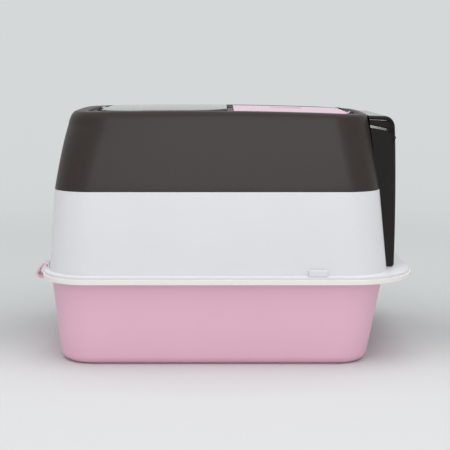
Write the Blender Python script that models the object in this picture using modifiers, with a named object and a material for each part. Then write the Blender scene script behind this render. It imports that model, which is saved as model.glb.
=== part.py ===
# Hooded litter box: a tapered pan with a clipped-on rim ring, a two-part hood with two roof lids,
# an entry porch with a swinging flap, sliding side locks and rear clips.
# Metres, +Z up. X runs from the rear (-X) to the entry (+X). The origin is on the floor, under the
# middle of the overall length and width.

import math
from collections import namedtuple

import bmesh
import bpy
from mathutils import Matrix, Vector

# Fits shared by every piece
FIT_GAP = 0.0003            # between pieces that rest on or turn in one another
OVERRUN = 0.004             # how far a cutter runs past the faces that it cuts
SINK = 0.0008               # how deep a joined lug or rib starts inside its carrier

# Rim ring: the cream ring that is clipped over the pan's edge
RIM_LENGTH = 0.5585
RIM_WIDTH = 0.420
RIM_REAR_RADIUS = 0.074
RIM_FRONT_RADIUS = 0.100
RIM_PLATE = 0.0028
RIM_SKIRT_DEPTH = 0.0074
RIM_SKIRT_WALL = 0.0024
RIM_EDGE_ROUND = 0.0010
RIM_UPSTAND = 0.0060        # inner upstand that centres the hood
RIM_UPSTAND_WALL = 0.0022
GUARD_REACH = 0.0140        # sloping scatter guard inside the upstand
GUARD_DROP = 0.0100
GUARD_WALL = 0.0020
GUARD_ROOT_GAP = 0.0030     # the guard's root stands this far inside the pan's wall

# Litter pan
PAN_HEIGHT = 0.1285
PAN_WALL = 0.0026
PAN_FLOOR = 0.0036
PAN_REAR_SET_IN = 0.0120    # pan wall inside the rim ring, at the pan's top edge
PAN_SIDE_SET_IN = 0.0120
PAN_FRONT_SET_IN = 0.0455   # leaves the wide front ledge
PAN_REAR_TAPER = 0.0135
PAN_SIDE_TAPER = 0.0095
PAN_FRONT_TAPER = 0.0255
PAN_REAR_RADIUS = 0.066
PAN_FRONT_RADIUS = 0.064
PAN_BASE_ROUND = 0.0130
PAN_LIP = 0.0080
PAN_LIP_THICKNESS = 0.0030
FOOT_DEPTH = 0.0016         # recessed pockets under the floor leave a foot ring and ribs
FOOT_RING = 0.0160
FOOT_RIB = 0.0160
FOOT_POCKET_ROUND = 0.0300

# Hood band: the white lower half of the hood, with its flange
FLANGE_SET_IN = 0.0020
FLANGE_THICKNESS = 0.0040
FLANGE_EDGE_ROUND = 0.0012
BAND_HEIGHT = 0.1221
BAND_WALL = 0.0026
BAND_REAR_LEDGE = 0.0070    # flange width outside the band's wall
BAND_SIDE_LEDGE = 0.0085
BAND_FRONT_LEDGE = 0.0380
BAND_REAR_TAPER = 0.0102
BAND_SIDE_TAPER = 0.0085
BAND_FRONT_TAPER = 0.0132
BAND_REAR_RADIUS = 0.068
BAND_FRONT_RADIUS = 0.064
BAND_FOOT_FILLET = 0.0012
REBATE_LIP = 0.0018         # outer lip round the smoky shell's foot
REBATE_DEPTH = 0.0080
REBATE_SEAT = 0.0050
REBATE_THICKNESS = 0.0024

# Hood shell: the smoky upper half of the hood
SHELL_WALL = 0.0026
SHELL_RISE = 0.1180         # roof crest above the band's top edge
SHELL_REAR_TAPER = 0.0180
SHELL_SIDE_TAPER = 0.0213
SHELL_FRONT_TAPER = 0.0158
SHELL_REAR_RADIUS = 0.066
SHELL_FRONT_RADIUS = 0.060
ROOF_FRONT_DROP = 0.0063
ROOF_SIDE_DROP = 0.0030
ROOF_REAR_ROUND = 0.0140
ROOF_SIDE_ROUND = 0.0080
ROOF_FRONT_ROUND = 0.0040
ROOF_REAR_EDGE_DROP = 0.0200
ROOF_FRONT_EDGE_DROP = 0.0045
WELL_DEPTH = 0.0036         # the lids lie in a shallow well in the roof
WELL_REAR_BORDER = 0.0158   # roof left round the well
WELL_FRONT_BORDER = 0.0070
WELL_SIDE_BORDER = 0.0100
WELL_DRAFT = 0.0008
WELL_SPINE_LENGTH = 0.1300  # innermost ring of the well's floor
WELL_SPINE_WIDTH = 0.0300

# Lids in the roof
LID_WALL = 0.0020
LID_SKIRT = 0.0050
LID_EDGE_ROUND = 0.0012
LID_SPINE_LENGTH = 0.0600
LID_SPINE_WIDTH = 0.0800
LID_SIDE_GAP = 0.0010       # between a lid's side and the foot of the well's wall
REAR_LID_HEIGHT = 0.0032
REAR_LID_BORDER = 0.0360    # from the roof's rear edge to the rear lid
REAR_LID_REAR_RADIUS = 0.052
REAR_LID_FRONT_RADIUS = 0.060
FRONT_LID_HEIGHT = 0.0042
FRONT_LID_BORDER = 0.0257   # from the roof's front edge to the front lid
FRONT_LID_REAR_RADIUS = 0.014
FRONT_LID_FRONT_RADIUS = 0.040
LID_PARTING = 0.0100        # between the two lids, where the roof's rib stands
ACCESS_BORDER = 0.0160      # floor left under the rear lid's edge
RIB_CLEARANCE = 0.0010
RIB_SET_IN = 0.0046         # the rib ends this far inside the front lid's sides
RIB_HEIGHT = 0.0040         # above the well's floor
FINGER_GAP = 0.0560         # break in the rib for a fingertip

# Lid hinges
HINGE_PIN_RADIUS = 0.0012
KNUCKLE_RADIUS = 0.0029
HINGE_RISE = 0.0017         # hinge axis above the well's floor
HINGE_SIDE_PLAY = 0.0005
TONGUE_THICKNESS = 0.0024
LUG_RADIUS = 0.0034
LUG_WIDTH = 0.0090
HINGE_SLOT_BEHIND = 0.0095
HINGE_SLOT_AHEAD = 0.0042
HINGE_SLOT_SIDE = 0.0015
REAR_HINGE_REACH = 0.0090   # hinge axis behind the rear lid's edge
REAR_KNUCKLE_WIDTH = 0.0600
FRONT_HINGE_REACH = 0.0070
FRONT_KNUCKLE_WIDTH = 0.0180
FRONT_HINGE_SET_IN = 0.0646 # middle of a front knuckle, inside the front lid's side

# Carbon filter under the front lid
TRAY_REAR_BORDER = 0.0260
TRAY_FRONT_BORDER = 0.0300
TRAY_SIDE_BORDER = 0.0456
TRAY_RADIUS = 0.0120
TRAY_WALL = 0.0018
TRAY_DEPTH = 0.0160
TRAY_FLANGE = 0.0060
TRAY_FLANGE_THICKNESS = 0.0010
PAD_THICKNESS = 0.0100
PAD_EDGE_ROUND = 0.0012
VENT_WIDTH = 0.0040
VENT_BAR = 0.0100           # tray floor left beyond and between the two rows of vents
VENT_COUNT = 9
LID_VENT_WIDTH = 0.0030
LID_VENT_SET_IN = 0.0330    # the lid's vents end this far inside the filter opening
LID_VENT_COUNT = 7

# Entry porch and the opening behind it
PORCH_SIDE_BORDER = 0.0464  # the porch's side, inside the roof's side
PORCH_BELOW_CREST = 0.0105  # the porch's top, below the roof's crest
PORCH_DEPTH = 0.0145        # front face ahead of the band's front wall, at the flange
PORCH_LEAN = 0.0030         # the front face leans back this much at its top
PORCH_WALL = 0.0030
PORCH_TOP_RADIUS = 0.0080
PORCH_FOOT_RADIUS = 0.0040
PORCH_SIDE_ROUND = 0.0060
PORCH_CROWN_ROUND = 0.0150
ENTRY_FRAME = 0.0250        # porch front left beside the entry
ENTRY_SILL_RISE = 0.0186    # the entry's lower edge above the flange
ENTRY_SILL_RADIUS = 0.020
ENTRY_TOP_RADIUS = 0.006
WALL_OPENING_MARGIN = 0.0040
WALL_OPENING_HEADROOM = 0.0130
WALL_OPENING_RADIUS = 0.0180
ENTRY_CUT_REACH = 0.0250    # the opening's cutter starts this far behind the roof's front edge

# Door flap
FLAP_AXIS_DROP = 0.0335     # hinge axis below the porch's top
FLAP_AXIS_SET_IN = 0.0015   # hinge axis behind the porch's front face
FLAP_PLAY = 0.0025
FLAP_THICKNESS = 0.0024
FLAP_BORDER = 0.0090
FLAP_BORDER_RISE = 0.0008
FLAP_NECK_THICKNESS = 0.0034
FLAP_NECK_RISE = 0.0020     # from the flap's top edge to its barrel
ROD_RADIUS = 0.0015
BARREL_RADIUS = 0.0033
BARREL_SET_IN = 0.0180      # the barrel ends this far inside the entry's side
PIVOT_WIDTH = 0.0110
PIVOT_RADIUS = 0.0040
PIVOT_TAIL = 0.0012         # the clip reaches this far behind the porch's front wall

# Side locks
LOCK_LENGTH = 0.0270
LOCK_DEPTH = 0.0066
LOCK_HEIGHT = 0.0092
LOCK_WALL = 0.0016
LOCK_EDGE_ROUND = 0.0008
LOCK_BEHIND_FRONT = 0.1485  # middle of the lock, behind the rim ring's front
LOCK_SET_IN = 0.0004        # inside the flange's edge
LOCK_TRAVEL = 0.0100
STUD_LENGTH = 0.0080
STUD_THICKNESS = 0.0024
STUD_RISE = 0.0060
STUD_SHIFT = 0.0040         # the stud stands this far ahead of the middle of the lock

# Rear clips
CLIP_STAND_OUT = 0.0125     # how far a clip stands out behind the rim ring
CLIP_WIDTH = 0.0260
CLIP_CORNER_GAP = 0.0180    # middle of the clip, inside the start of the flange's corner
CLIP_WALL = 0.0032
CLIP_FOOT_DROP = 0.0030     # middle of the clip's foot, below the rim ring's skirt
CLIP_BOW_SKEW = 1.6         # above 1, the bow stands out furthest below its middle
CLIP_KNUCKLE_RADIUS = 0.0034
CLIP_PIN_RADIUS = 0.0013
CLIP_AXIS_RISE = 0.0044
CLIP_AXIS_SET_IN = 0.0030
CLIP_EAR_WIDTH = 0.0030
CLIP_WINDOW_WIDTH = 0.0140
CLIP_WINDOW_HEIGHT = 0.0066

# Mesh fineness
CORNER_STEPS = 7
LONG_STEPS = 6
SHORT_STEPS = 4
ROUND_STEPS = 4
BOW_STEPS = 10
PIN_SIDES = 20
surface_shares = (0.0, 0.5, 1.0)
crest_share = 0.4           # place of the roof's crest along the roof
parting_share = 0.5324      # place of the rib between the lids along the roof
lid_vent_spread_share = 0.52

# Heights that follow
rim_under = PAN_HEIGHT + FIT_GAP
rim_top = rim_under + RIM_PLATE
skirt_foot = rim_top - RIM_SKIRT_DEPTH
flange_under = rim_top + FIT_GAP
flange_top = flange_under + FLANGE_THICKNESS
band_top = flange_top + BAND_HEIGHT
rebate_floor = band_top - REBATE_DEPTH
shell_foot = rebate_floor + FIT_GAP
shell_step = band_top + FIT_GAP
roof_crest = band_top + SHELL_RISE
wall_middle = (shell_step + roof_crest) / 2
porch_foot = flange_top + FIT_GAP
porch_top = roof_crest - PORCH_BELOW_CREST
flap_axis_z = porch_top - FLAP_AXIS_DROP
entry_sill = flange_top + ENTRY_SILL_RISE
entry_top = flap_axis_z + BARREL_RADIUS + FLAP_PLAY

# Outline: a rounded rectangle. rear and front are its ends along its first axis, half its half width
# along the second, and each end has its own corner radius.
Outline = namedtuple("Outline", "rear front half rear_radius front_radius")


def inset(outline, rear, front, side):
    """The outline drawn in by its own amount at each side; its corner radii shrink with it."""
    rear_radius = max(outline.rear_radius - (rear + side) / 2, FIT_GAP)
    front_radius = max(outline.front_radius - (front + side) / 2, FIT_GAP)
    return Outline(outline.rear + rear, outline.front - front, outline.half - side,
                   rear_radius, front_radius)


def evenly(outline, amount):
    """The outline drawn in alike all round."""
    return inset(outline, amount, amount, amount)


def between(first, last, share):
    """An outline part of the way from one outline to another."""
    return Outline(*[a + (b - a) * share for a, b in zip(first, last)])


def with_radii(outline, rear_radius, front_radius):
    """The outline with other corner radii."""
    return outline._replace(rear_radius=rear_radius, front_radius=front_radius)


def spine_of(outline, length, width):
    """The small outline in the middle of a surface, which its last ring of faces closes on."""
    middle = (outline.rear + outline.front) / 2
    radius = min(length, width) / 4
    return Outline(middle - length / 2, middle + length / 2, width / 2, radius, radius)


def outline_points(outline):
    """Points round an outline, anticlockwise: arcs at the corners and even steps along the sides."""
    corners = (
        (outline.front, -outline.half, -1, 1, outline.front_radius, -math.pi / 2, SHORT_STEPS),
        (outline.front, outline.half, -1, -1, outline.front_radius, 0.0, LONG_STEPS),
        (outline.rear, outline.half, 1, -1, outline.rear_radius, math.pi / 2, SHORT_STEPS),
        (outline.rear, -outline.half, 1, 1, outline.rear_radius, math.pi, LONG_STEPS),
    )
    arcs = []
    for u, v, inward_u, inward_v, radius, start, steps in corners:
        centre_u = u + inward_u * radius
        centre_v = v + inward_v * radius
        arc = []
        for step in range(CORNER_STEPS + 1):
            turn = start + math.pi / 2 * step / CORNER_STEPS
            arc.append((centre_u + radius * math.cos(turn), centre_v + radius * math.sin(turn)))
        arcs.append((arc, steps))
    points = []
    for index, (arc, steps) in enumerate(arcs):
        points.extend(arc)
        begin = arc[-1]
        end = arcs[(index + 1) % len(arcs)][0][0]
        for step in range(1, steps):
            share = step / steps
            points.append((begin[0] + (end[0] - begin[0]) * share,
                           begin[1] + (end[1] - begin[1]) * share))
    return points


def level_ring(outline, height):
    """The outline's points in plan, at one height or at the height that a function gives."""
    ring = []
    for x, y in outline_points(outline):
        z = height(x, y) if callable(height) else height
        ring.append(Vector((x, y, z)))
    return ring


def upright_ring(outline, place):
    """The outline stood up across X: its first axis is Z, its second Y, and place gives X at a height."""
    ring = []
    for z, y in outline_points(outline):
        x = place(z) if callable(place) else place
        ring.append(Vector((x, y, z)))
    return ring


def loft(rings, closed=False):
    """Bridges rings of equal count with flat triangles. An open loft is capped by fans to middle points."""
    build = bmesh.new()
    rows = [[build.verts.new(point) for point in ring] for ring in rings]
    pairs = list(zip(rows, rows[1:]))
    if closed:
        pairs.append((rows[-1], rows[0]))
    count = len(rows[0])
    for lower, upper in pairs:
        for index in range(count):
            after = (index + 1) % count
            build.faces.new((lower[index], lower[after], upper[after], upper[index]))
    if not closed:
        for row in (rows[0], rows[-1]):
            middle = build.verts.new(sum((vert.co for vert in row), Vector()) / count)
            for index in range(count):
                build.faces.new((row[index], row[(index + 1) % count], middle))
    bmesh.ops.triangulate(build, faces=build.faces)
    return build


def block(low, high):
    """A box between two corners."""
    build = bmesh.new()
    bmesh.ops.create_cube(build, size=1.0)
    size = [b - a for a, b in zip(low, high)]
    middle = [(a + b) / 2 for a, b in zip(low, high)]
    bmesh.ops.scale(build, vec=size, verts=build.verts)
    bmesh.ops.translate(build, vec=middle, verts=build.verts)
    return build


def rod_along_y(centre, radius, length):
    """A closed cylinder along Y about a centre."""
    build = bmesh.new()
    bmesh.ops.create_cone(build, cap_ends=True, segments=PIN_SIDES, radius1=radius, radius2=radius,
                          depth=length)
    turn = Matrix.Rotation(math.pi / 2, 3, "X")
    bmesh.ops.rotate(build, cent=(0.0, 0.0, 0.0), matrix=turn, verts=build.verts)
    bmesh.ops.translate(build, vec=centre, verts=build.verts)
    return build


def slab_along_y(profile, y_low, y_high):
    """A flat outline in X and Z, extruded along Y, in triangles so that a bore cuts its ends cleanly."""
    build = bmesh.new()
    face = build.faces.new([build.verts.new((x, y_low, z)) for x, z in profile])
    grown = bmesh.ops.extrude_face_region(build, geom=[face])
    moved = [item for item in grown["geom"] if isinstance(item, bmesh.types.BMVert)]
    bmesh.ops.translate(build, vec=(0.0, y_high - y_low, 0.0), verts=moved)
    bmesh.ops.triangulate(build, faces=build.faces)
    return build


def lug(axis_x, axis_z, foot_z, radius, y_low, y_high):
    """A lug with a round head about a hinge axis, standing on a foot."""
    profile = [(axis_x - radius, foot_z), (axis_x + radius, foot_z)]
    for step in range(2 * ROUND_STEPS + 1):
        turn = math.pi * step / (2 * ROUND_STEPS)
        profile.append((axis_x + radius * math.cos(turn), axis_z + radius * math.sin(turn)))
    return slab_along_y(profile, y_low, y_high)


def add_object(name, build, material=None, location=(0.0, 0.0, 0.0)):
    """Makes an object of a mesh that is built in place; its origin goes to location.
    Without a material it is a hidden guide that only cuts or joins."""
    mesh = bpy.data.meshes.new(name)
    bmesh.ops.recalc_face_normals(build, faces=build.faces)
    bmesh.ops.translate(build, verts=build.verts, vec=-Vector(location))
    build.to_mesh(mesh)
    build.free()
    obj = bpy.data.objects.new(name, mesh)
    obj.location = location
    if material is None:
        guides.objects.link(obj)
        obj.hide_render = True
        obj.display_type = "WIRE"
    else:
        parts.objects.link(obj)
        mesh.materials.append(material)
    return obj


def combine(target, tool, operation):
    """Joins a tool to an object, or cuts it away; the tool stays as a hidden guide."""
    modifier = target.modifiers.new(tool.name, "BOOLEAN")
    modifier.operation = operation
    modifier.solver = "EXACT"
    modifier.object = tool


def join(target, name, build):
    combine(target, add_object(name, build), "UNION")


def cut(target, name, build):
    combine(target, add_object(name, build), "DIFFERENCE")


def ease_edges(obj, width, segments=2):
    """A small round on the sharp edges."""
    modifier = obj.modifiers.new("eased edges", "BEVEL")
    modifier.width = width
    modifier.segments = segments
    modifier.limit_method = "ANGLE"
    modifier.angle_limit = math.radians(40)


def smooth(obj, angle=35):
    """Round surfaces shade smooth; edges past the angle stay sharp."""
    obj.data.shade_smooth()
    obj.data.set_sharp_from_angle(angle=math.radians(angle))


def new_collection(name):
    collection = bpy.data.collections.new(name)
    bpy.context.scene.collection.children.link(collection)
    return collection


def new_material(name, colour, roughness, metallic=0.0):
    """A Principled BSDF material; colour is linear red, green and blue."""
    material = bpy.data.materials.new(name)
    material.use_nodes = True
    shader = material.node_tree.nodes["Principled BSDF"]
    shader.inputs["Base Color"].default_value = (*colour, 1.0)
    shader.inputs["Roughness"].default_value = roughness
    shader.inputs["Metallic"].default_value = metallic
    return material


# Outlines that follow
rim_front = (RIM_LENGTH + CLIP_STAND_OUT) / 2
rim_outline = Outline(rim_front - RIM_LENGTH, rim_front, RIM_WIDTH / 2, RIM_REAR_RADIUS, RIM_FRONT_RADIUS)
flange_outline = evenly(rim_outline, FLANGE_SET_IN)
pan_top_outline = with_radii(
    inset(rim_outline, PAN_REAR_SET_IN, PAN_FRONT_SET_IN, PAN_SIDE_SET_IN),
    PAN_REAR_RADIUS, PAN_FRONT_RADIUS)
pan_base_outline = inset(pan_top_outline, PAN_REAR_TAPER, PAN_FRONT_TAPER, PAN_SIDE_TAPER)
band_foot_outline = with_radii(
    inset(flange_outline, BAND_REAR_LEDGE, BAND_FRONT_LEDGE, BAND_SIDE_LEDGE),
    BAND_REAR_RADIUS, BAND_FRONT_RADIUS)
band_top_outline = inset(band_foot_outline, BAND_REAR_TAPER, BAND_FRONT_TAPER, BAND_SIDE_TAPER)
shell_foot_outline = evenly(band_top_outline, REBATE_LIP + FIT_GAP)
shell_base_outline = evenly(band_top_outline, FIT_GAP)
shell_top_outline = with_radii(
    inset(shell_base_outline, SHELL_REAR_TAPER, SHELL_FRONT_TAPER, SHELL_SIDE_TAPER),
    SHELL_REAR_RADIUS, SHELL_FRONT_RADIUS)
roof_outline = inset(shell_top_outline, ROOF_REAR_ROUND, ROOF_FRONT_ROUND, ROOF_SIDE_ROUND)
well_outline = inset(roof_outline, WELL_REAR_BORDER, WELL_FRONT_BORDER, WELL_SIDE_BORDER)
floor_outline = evenly(well_outline, WELL_DRAFT)
lid_half = floor_outline.half - LID_SIDE_GAP
parting_x = roof_outline.rear + (roof_outline.front - roof_outline.rear) * parting_share
rear_lid_outline = Outline(roof_outline.rear + REAR_LID_BORDER, parting_x - LID_PARTING / 2, lid_half,
                           REAR_LID_REAR_RADIUS, REAR_LID_FRONT_RADIUS)
front_lid_outline = Outline(parting_x + LID_PARTING / 2, roof_outline.front - FRONT_LID_BORDER, lid_half,
                            FRONT_LID_REAR_RADIUS, FRONT_LID_FRONT_RADIUS)
tray_hole_outline = with_radii(
    inset(front_lid_outline, TRAY_REAR_BORDER, TRAY_FRONT_BORDER, TRAY_SIDE_BORDER),
    TRAY_RADIUS, TRAY_RADIUS)
porch_outline = Outline(porch_foot, porch_top, shell_top_outline.half - PORCH_SIDE_BORDER,
                        PORCH_FOOT_RADIUS, PORCH_TOP_RADIUS)
entry_outline = Outline(entry_sill, entry_top, porch_outline.half - ENTRY_FRAME,
                        ENTRY_SILL_RADIUS, ENTRY_TOP_RADIUS)
wall_opening_outline = Outline(
    entry_sill - WALL_OPENING_MARGIN, flap_axis_z + WALL_OPENING_HEADROOM,
    entry_outline.half + WALL_OPENING_MARGIN, ENTRY_SILL_RADIUS, WALL_OPENING_RADIUS)


def roof_height(x, y):
    """Top of the smoky roof: crowned both ways about its crest."""
    crest_x = shell_top_outline.rear + (shell_top_outline.front - shell_top_outline.rear) * crest_share
    along = (x - crest_x) / (shell_top_outline.front - crest_x)
    across = y / shell_top_outline.half
    return roof_crest - ROOF_FRONT_DROP * along ** 2 - ROOF_SIDE_DROP * across ** 2


def floor_height(x, y):
    """Floor of the well in the roof, which carries the lids and the filter tray."""
    return roof_height(x, y) - WELL_DEPTH


def above_floor(rise):
    """A height function that keeps a set distance above the well's floor."""
    return lambda x, y: floor_height(x, y) + rise


def edge_drop(x):
    """How far the rounded roof edge drops: deep at the rear, shallow at the front."""
    share = (shell_top_outline.front - x) / (shell_top_outline.front - shell_top_outline.rear)
    return ROOF_FRONT_EDGE_DROP + (ROOF_REAR_EDGE_DROP - ROOF_FRONT_EDGE_DROP) * max(share, 0.0) ** 3


def porch_face(z):
    """X of the porch's front face at a height; it leans back towards its top."""
    share = (z - porch_foot) / (porch_top - porch_foot)
    return band_foot_outline.front + PORCH_DEPTH - PORCH_LEAN * share


# Places that follow
lock_x = rim_outline.front - LOCK_BEHIND_FRONT
lock_y = flange_outline.half - LOCK_SET_IN - LOCK_DEPTH / 2
stud_x = lock_x + STUD_SHIFT
clip_spacing = 2 * (flange_outline.half - flange_outline.rear_radius - CLIP_CORNER_GAP)
clip_axis_x = flange_outline.rear + CLIP_AXIS_SET_IN
clip_axis_z = flange_top + CLIP_AXIS_RISE
rear_hinge_x = rear_lid_outline.rear - REAR_HINGE_REACH
rear_hinge_z = floor_height(rear_hinge_x, 0.0) + HINGE_RISE
front_hinge_y = front_lid_outline.half - FRONT_HINGE_SET_IN
front_hinge_x = front_lid_outline.front + FRONT_HINGE_REACH
front_hinge_z = floor_height(front_hinge_x, front_hinge_y) + HINGE_RISE
flap_axis_x = porch_face(flap_axis_z) - FLAP_AXIS_SET_IN
hinge_bore = HINGE_PIN_RADIUS + FIT_GAP
rod_length = 2 * (entry_outline.half + PIVOT_WIDTH - PIVOT_TAIL)
barrel_width = 2 * (entry_outline.half - BARREL_SET_IN)


def make_pan():
    """The tapered pan: rounded base, outward lip under the rim ring, foot ring and ribs below."""
    inner_top = evenly(pan_top_outline, PAN_WALL)
    inner_base = evenly(pan_base_outline, PAN_WALL)
    lip = evenly(pan_top_outline, -PAN_LIP)
    lip_under = PAN_HEIGHT - PAN_LIP_THICKNESS
    rings = []
    for step in range(ROUND_STEPS + 1):
        turn = math.pi / 2 * step / ROUND_STEPS
        z = PAN_BASE_ROUND * (1 - math.cos(turn))
        wall = between(pan_base_outline, pan_top_outline, z / PAN_HEIGHT)
        rings.append(level_ring(evenly(wall, PAN_BASE_ROUND * (1 - math.sin(turn))), z))
    rings.append(level_ring(between(pan_base_outline, pan_top_outline, lip_under / PAN_HEIGHT), lip_under))
    rings.append(level_ring(lip, lip_under))
    rings.append(level_ring(lip, PAN_HEIGHT))
    rings.append(level_ring(inner_top, PAN_HEIGHT))
    inner_round = PAN_BASE_ROUND - PAN_WALL
    for step in range(ROUND_STEPS, -1, -1):
        turn = math.pi / 2 * step / ROUND_STEPS
        z = PAN_FLOOR + inner_round * (1 - math.cos(turn))
        wall = between(inner_base, inner_top, z / PAN_HEIGHT)
        rings.append(level_ring(evenly(wall, inner_round * (1 - math.sin(turn))), z))
    pan = add_object("litter_pan", loft(rings), pink)
    area = evenly(pan_base_outline, PAN_BASE_ROUND + FOOT_RING)
    half = (area.half - FOOT_RIB / 2) / 2
    for low_x, high_x in ((area.rear, -FOOT_RIB / 2), (FOOT_RIB / 2, area.front)):
        for side in (-1, 1):
            pocket = Outline(low_x, high_x, half, FOOT_POCKET_ROUND, FOOT_POCKET_ROUND)
            build = loft([level_ring(pocket, -OVERRUN), level_ring(pocket, FOOT_DEPTH)])
            bmesh.ops.translate(build, vec=(0.0, side * (half + FOOT_RIB / 2), 0.0), verts=build.verts)
            cut(pan, "pan foot pocket", build)
    smooth(pan)


def make_rim_ring():
    """The cream ring: skirt, top plate with the wide front ledge, upstand and sloping scatter guard."""
    skirt_inner = evenly(rim_outline, RIM_SKIRT_WALL)
    upstand_outer = evenly(band_foot_outline, BAND_WALL + FIT_GAP)
    upstand_inner = evenly(upstand_outer, RIM_UPSTAND_WALL)
    guard_edge = evenly(upstand_inner, GUARD_REACH)
    guard_root = evenly(pan_top_outline, PAN_WALL + GUARD_ROOT_GAP)
    ring = add_object("rim_ring", loft([
        level_ring(rim_outline, skirt_foot),
        level_ring(rim_outline, rim_top - RIM_EDGE_ROUND),
        level_ring(evenly(rim_outline, RIM_EDGE_ROUND), rim_top),
        level_ring(upstand_outer, rim_top),
        level_ring(upstand_outer, rim_top + RIM_UPSTAND),
        level_ring(upstand_inner, rim_top + RIM_UPSTAND),
        level_ring(guard_edge, rim_top - GUARD_DROP),
        level_ring(guard_edge, rim_top - GUARD_DROP - GUARD_WALL),
        level_ring(guard_root, rim_under),
        level_ring(skirt_inner, rim_under),
        level_ring(skirt_inner, skirt_foot),
    ], closed=True), cream)
    for side in (-1, 1):
        y = side * lock_y
        join(ring, "lock stud", block(
            (stud_x - STUD_LENGTH / 2, y - STUD_THICKNESS / 2, rim_top - SINK),
            (stud_x + STUD_LENGTH / 2, y + STUD_THICKNESS / 2, flange_top + STUD_RISE)))
    smooth(ring)


def make_entry_cutter():
    """Cuts the way in through the hood's front wall, in the band and the shell alike."""
    behind = shell_top_outline.front - ENTRY_CUT_REACH
    ahead = flange_outline.front + OVERRUN
    return loft([upright_ring(wall_opening_outline, behind), upright_ring(wall_opening_outline, ahead)])


def make_band():
    """The white band: flange, tapered wall, and a rebate that the smoky shell stands in."""
    wall_inner_foot = evenly(band_foot_outline, BAND_WALL)
    lip_inner = evenly(band_top_outline, REBATE_LIP)
    seat_edge = evenly(lip_inner, REBATE_SEAT)
    seat_under = rebate_floor - REBATE_THICKNESS
    seat_root = seat_under - REBATE_SEAT
    share = (seat_root - flange_top) / BAND_HEIGHT
    wall_inner_top = evenly(between(band_foot_outline, band_top_outline, share), BAND_WALL)
    band = add_object("hood_band", loft([
        level_ring(flange_outline, flange_under),
        level_ring(flange_outline, flange_top - FLANGE_EDGE_ROUND),
        level_ring(evenly(flange_outline, FLANGE_EDGE_ROUND), flange_top),
        level_ring(evenly(band_foot_outline, -BAND_FOOT_FILLET), flange_top),
        level_ring(band_foot_outline, flange_top + BAND_FOOT_FILLET),
        level_ring(band_top_outline, band_top),
        level_ring(lip_inner, band_top),
        level_ring(lip_inner, rebate_floor),
        level_ring(seat_edge, rebate_floor),
        level_ring(seat_edge, seat_under),
        level_ring(wall_inner_top, seat_root),
        level_ring(wall_inner_foot, flange_top),
        level_ring(wall_inner_foot, flange_under),
    ], closed=True), white)
    cut(band, "entry in the band", make_entry_cutter())
    for side in (-1, 1):
        y = side * lock_y
        cut(band, "flange slot", block(
            (stud_x - STUD_LENGTH / 2 - FIT_GAP, y - STUD_THICKNESS / 2 - FIT_GAP, flange_under - OVERRUN),
            (stud_x + STUD_LENGTH / 2 + FIT_GAP, y + STUD_THICKNESS / 2 + FIT_GAP, flange_top + OVERRUN)))
        clip_y = side * clip_spacing / 2
        for flank in (-1, 1):
            ear_y = clip_y + flank * (CLIP_WIDTH / 2 + HINGE_SIDE_PLAY + CLIP_EAR_WIDTH / 2)
            join(band, "clip ear", lug(clip_axis_x, clip_axis_z, flange_top - SINK, CLIP_KNUCKLE_RADIUS,
                                       ear_y - CLIP_EAR_WIDTH / 2, ear_y + CLIP_EAR_WIDTH / 2))
        cut(band, "clip ear bore", rod_along_y(
            (clip_axis_x, clip_y, clip_axis_z), CLIP_PIN_RADIUS + FIT_GAP,
            CLIP_WIDTH + 2 * (HINGE_SIDE_PLAY + CLIP_EAR_WIDTH + OVERRUN)))
    smooth(band)


def shell_rings(thickness):
    """Rings from the foot in the band's rebate, out over its lip, up the bowed wall, over the roof and
    down to the well's floor. thickness draws them inwards."""
    foot = evenly(shell_foot_outline, thickness)
    base = evenly(shell_base_outline, thickness)
    top = evenly(shell_top_outline, thickness)
    rings = [
        level_ring(foot, shell_foot),
        level_ring(foot, shell_step + thickness),
        level_ring(base, shell_step + thickness),
        level_ring(between(base, top, 1 / 2), wall_middle),
    ]
    for step in range(ROUND_STEPS):
        turn = math.pi / 2 * step / ROUND_STEPS
        away = 1 - math.cos(turn)
        sink = 1 - math.sin(turn)
        outline = inset(top, ROOF_REAR_ROUND * away, ROOF_FRONT_ROUND * away, ROOF_SIDE_ROUND * away)
        rings.append(level_ring(
            outline, lambda x, y: roof_height(x, y) - thickness - edge_drop(x) * sink))
    edge = inset(top, ROOF_REAR_ROUND, ROOF_FRONT_ROUND, ROOF_SIDE_ROUND)
    well = evenly(well_outline, -thickness)
    for outline in (edge, well):
        rings.append(level_ring(outline, above_floor(WELL_DEPTH - thickness)))
    floor = evenly(floor_outline, -thickness)
    spine = spine_of(floor, WELL_SPINE_LENGTH, WELL_SPINE_WIDTH)
    for share in surface_shares:
        rings.append(level_ring(between(floor, spine, share), above_floor(-thickness)))
    return rings


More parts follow.
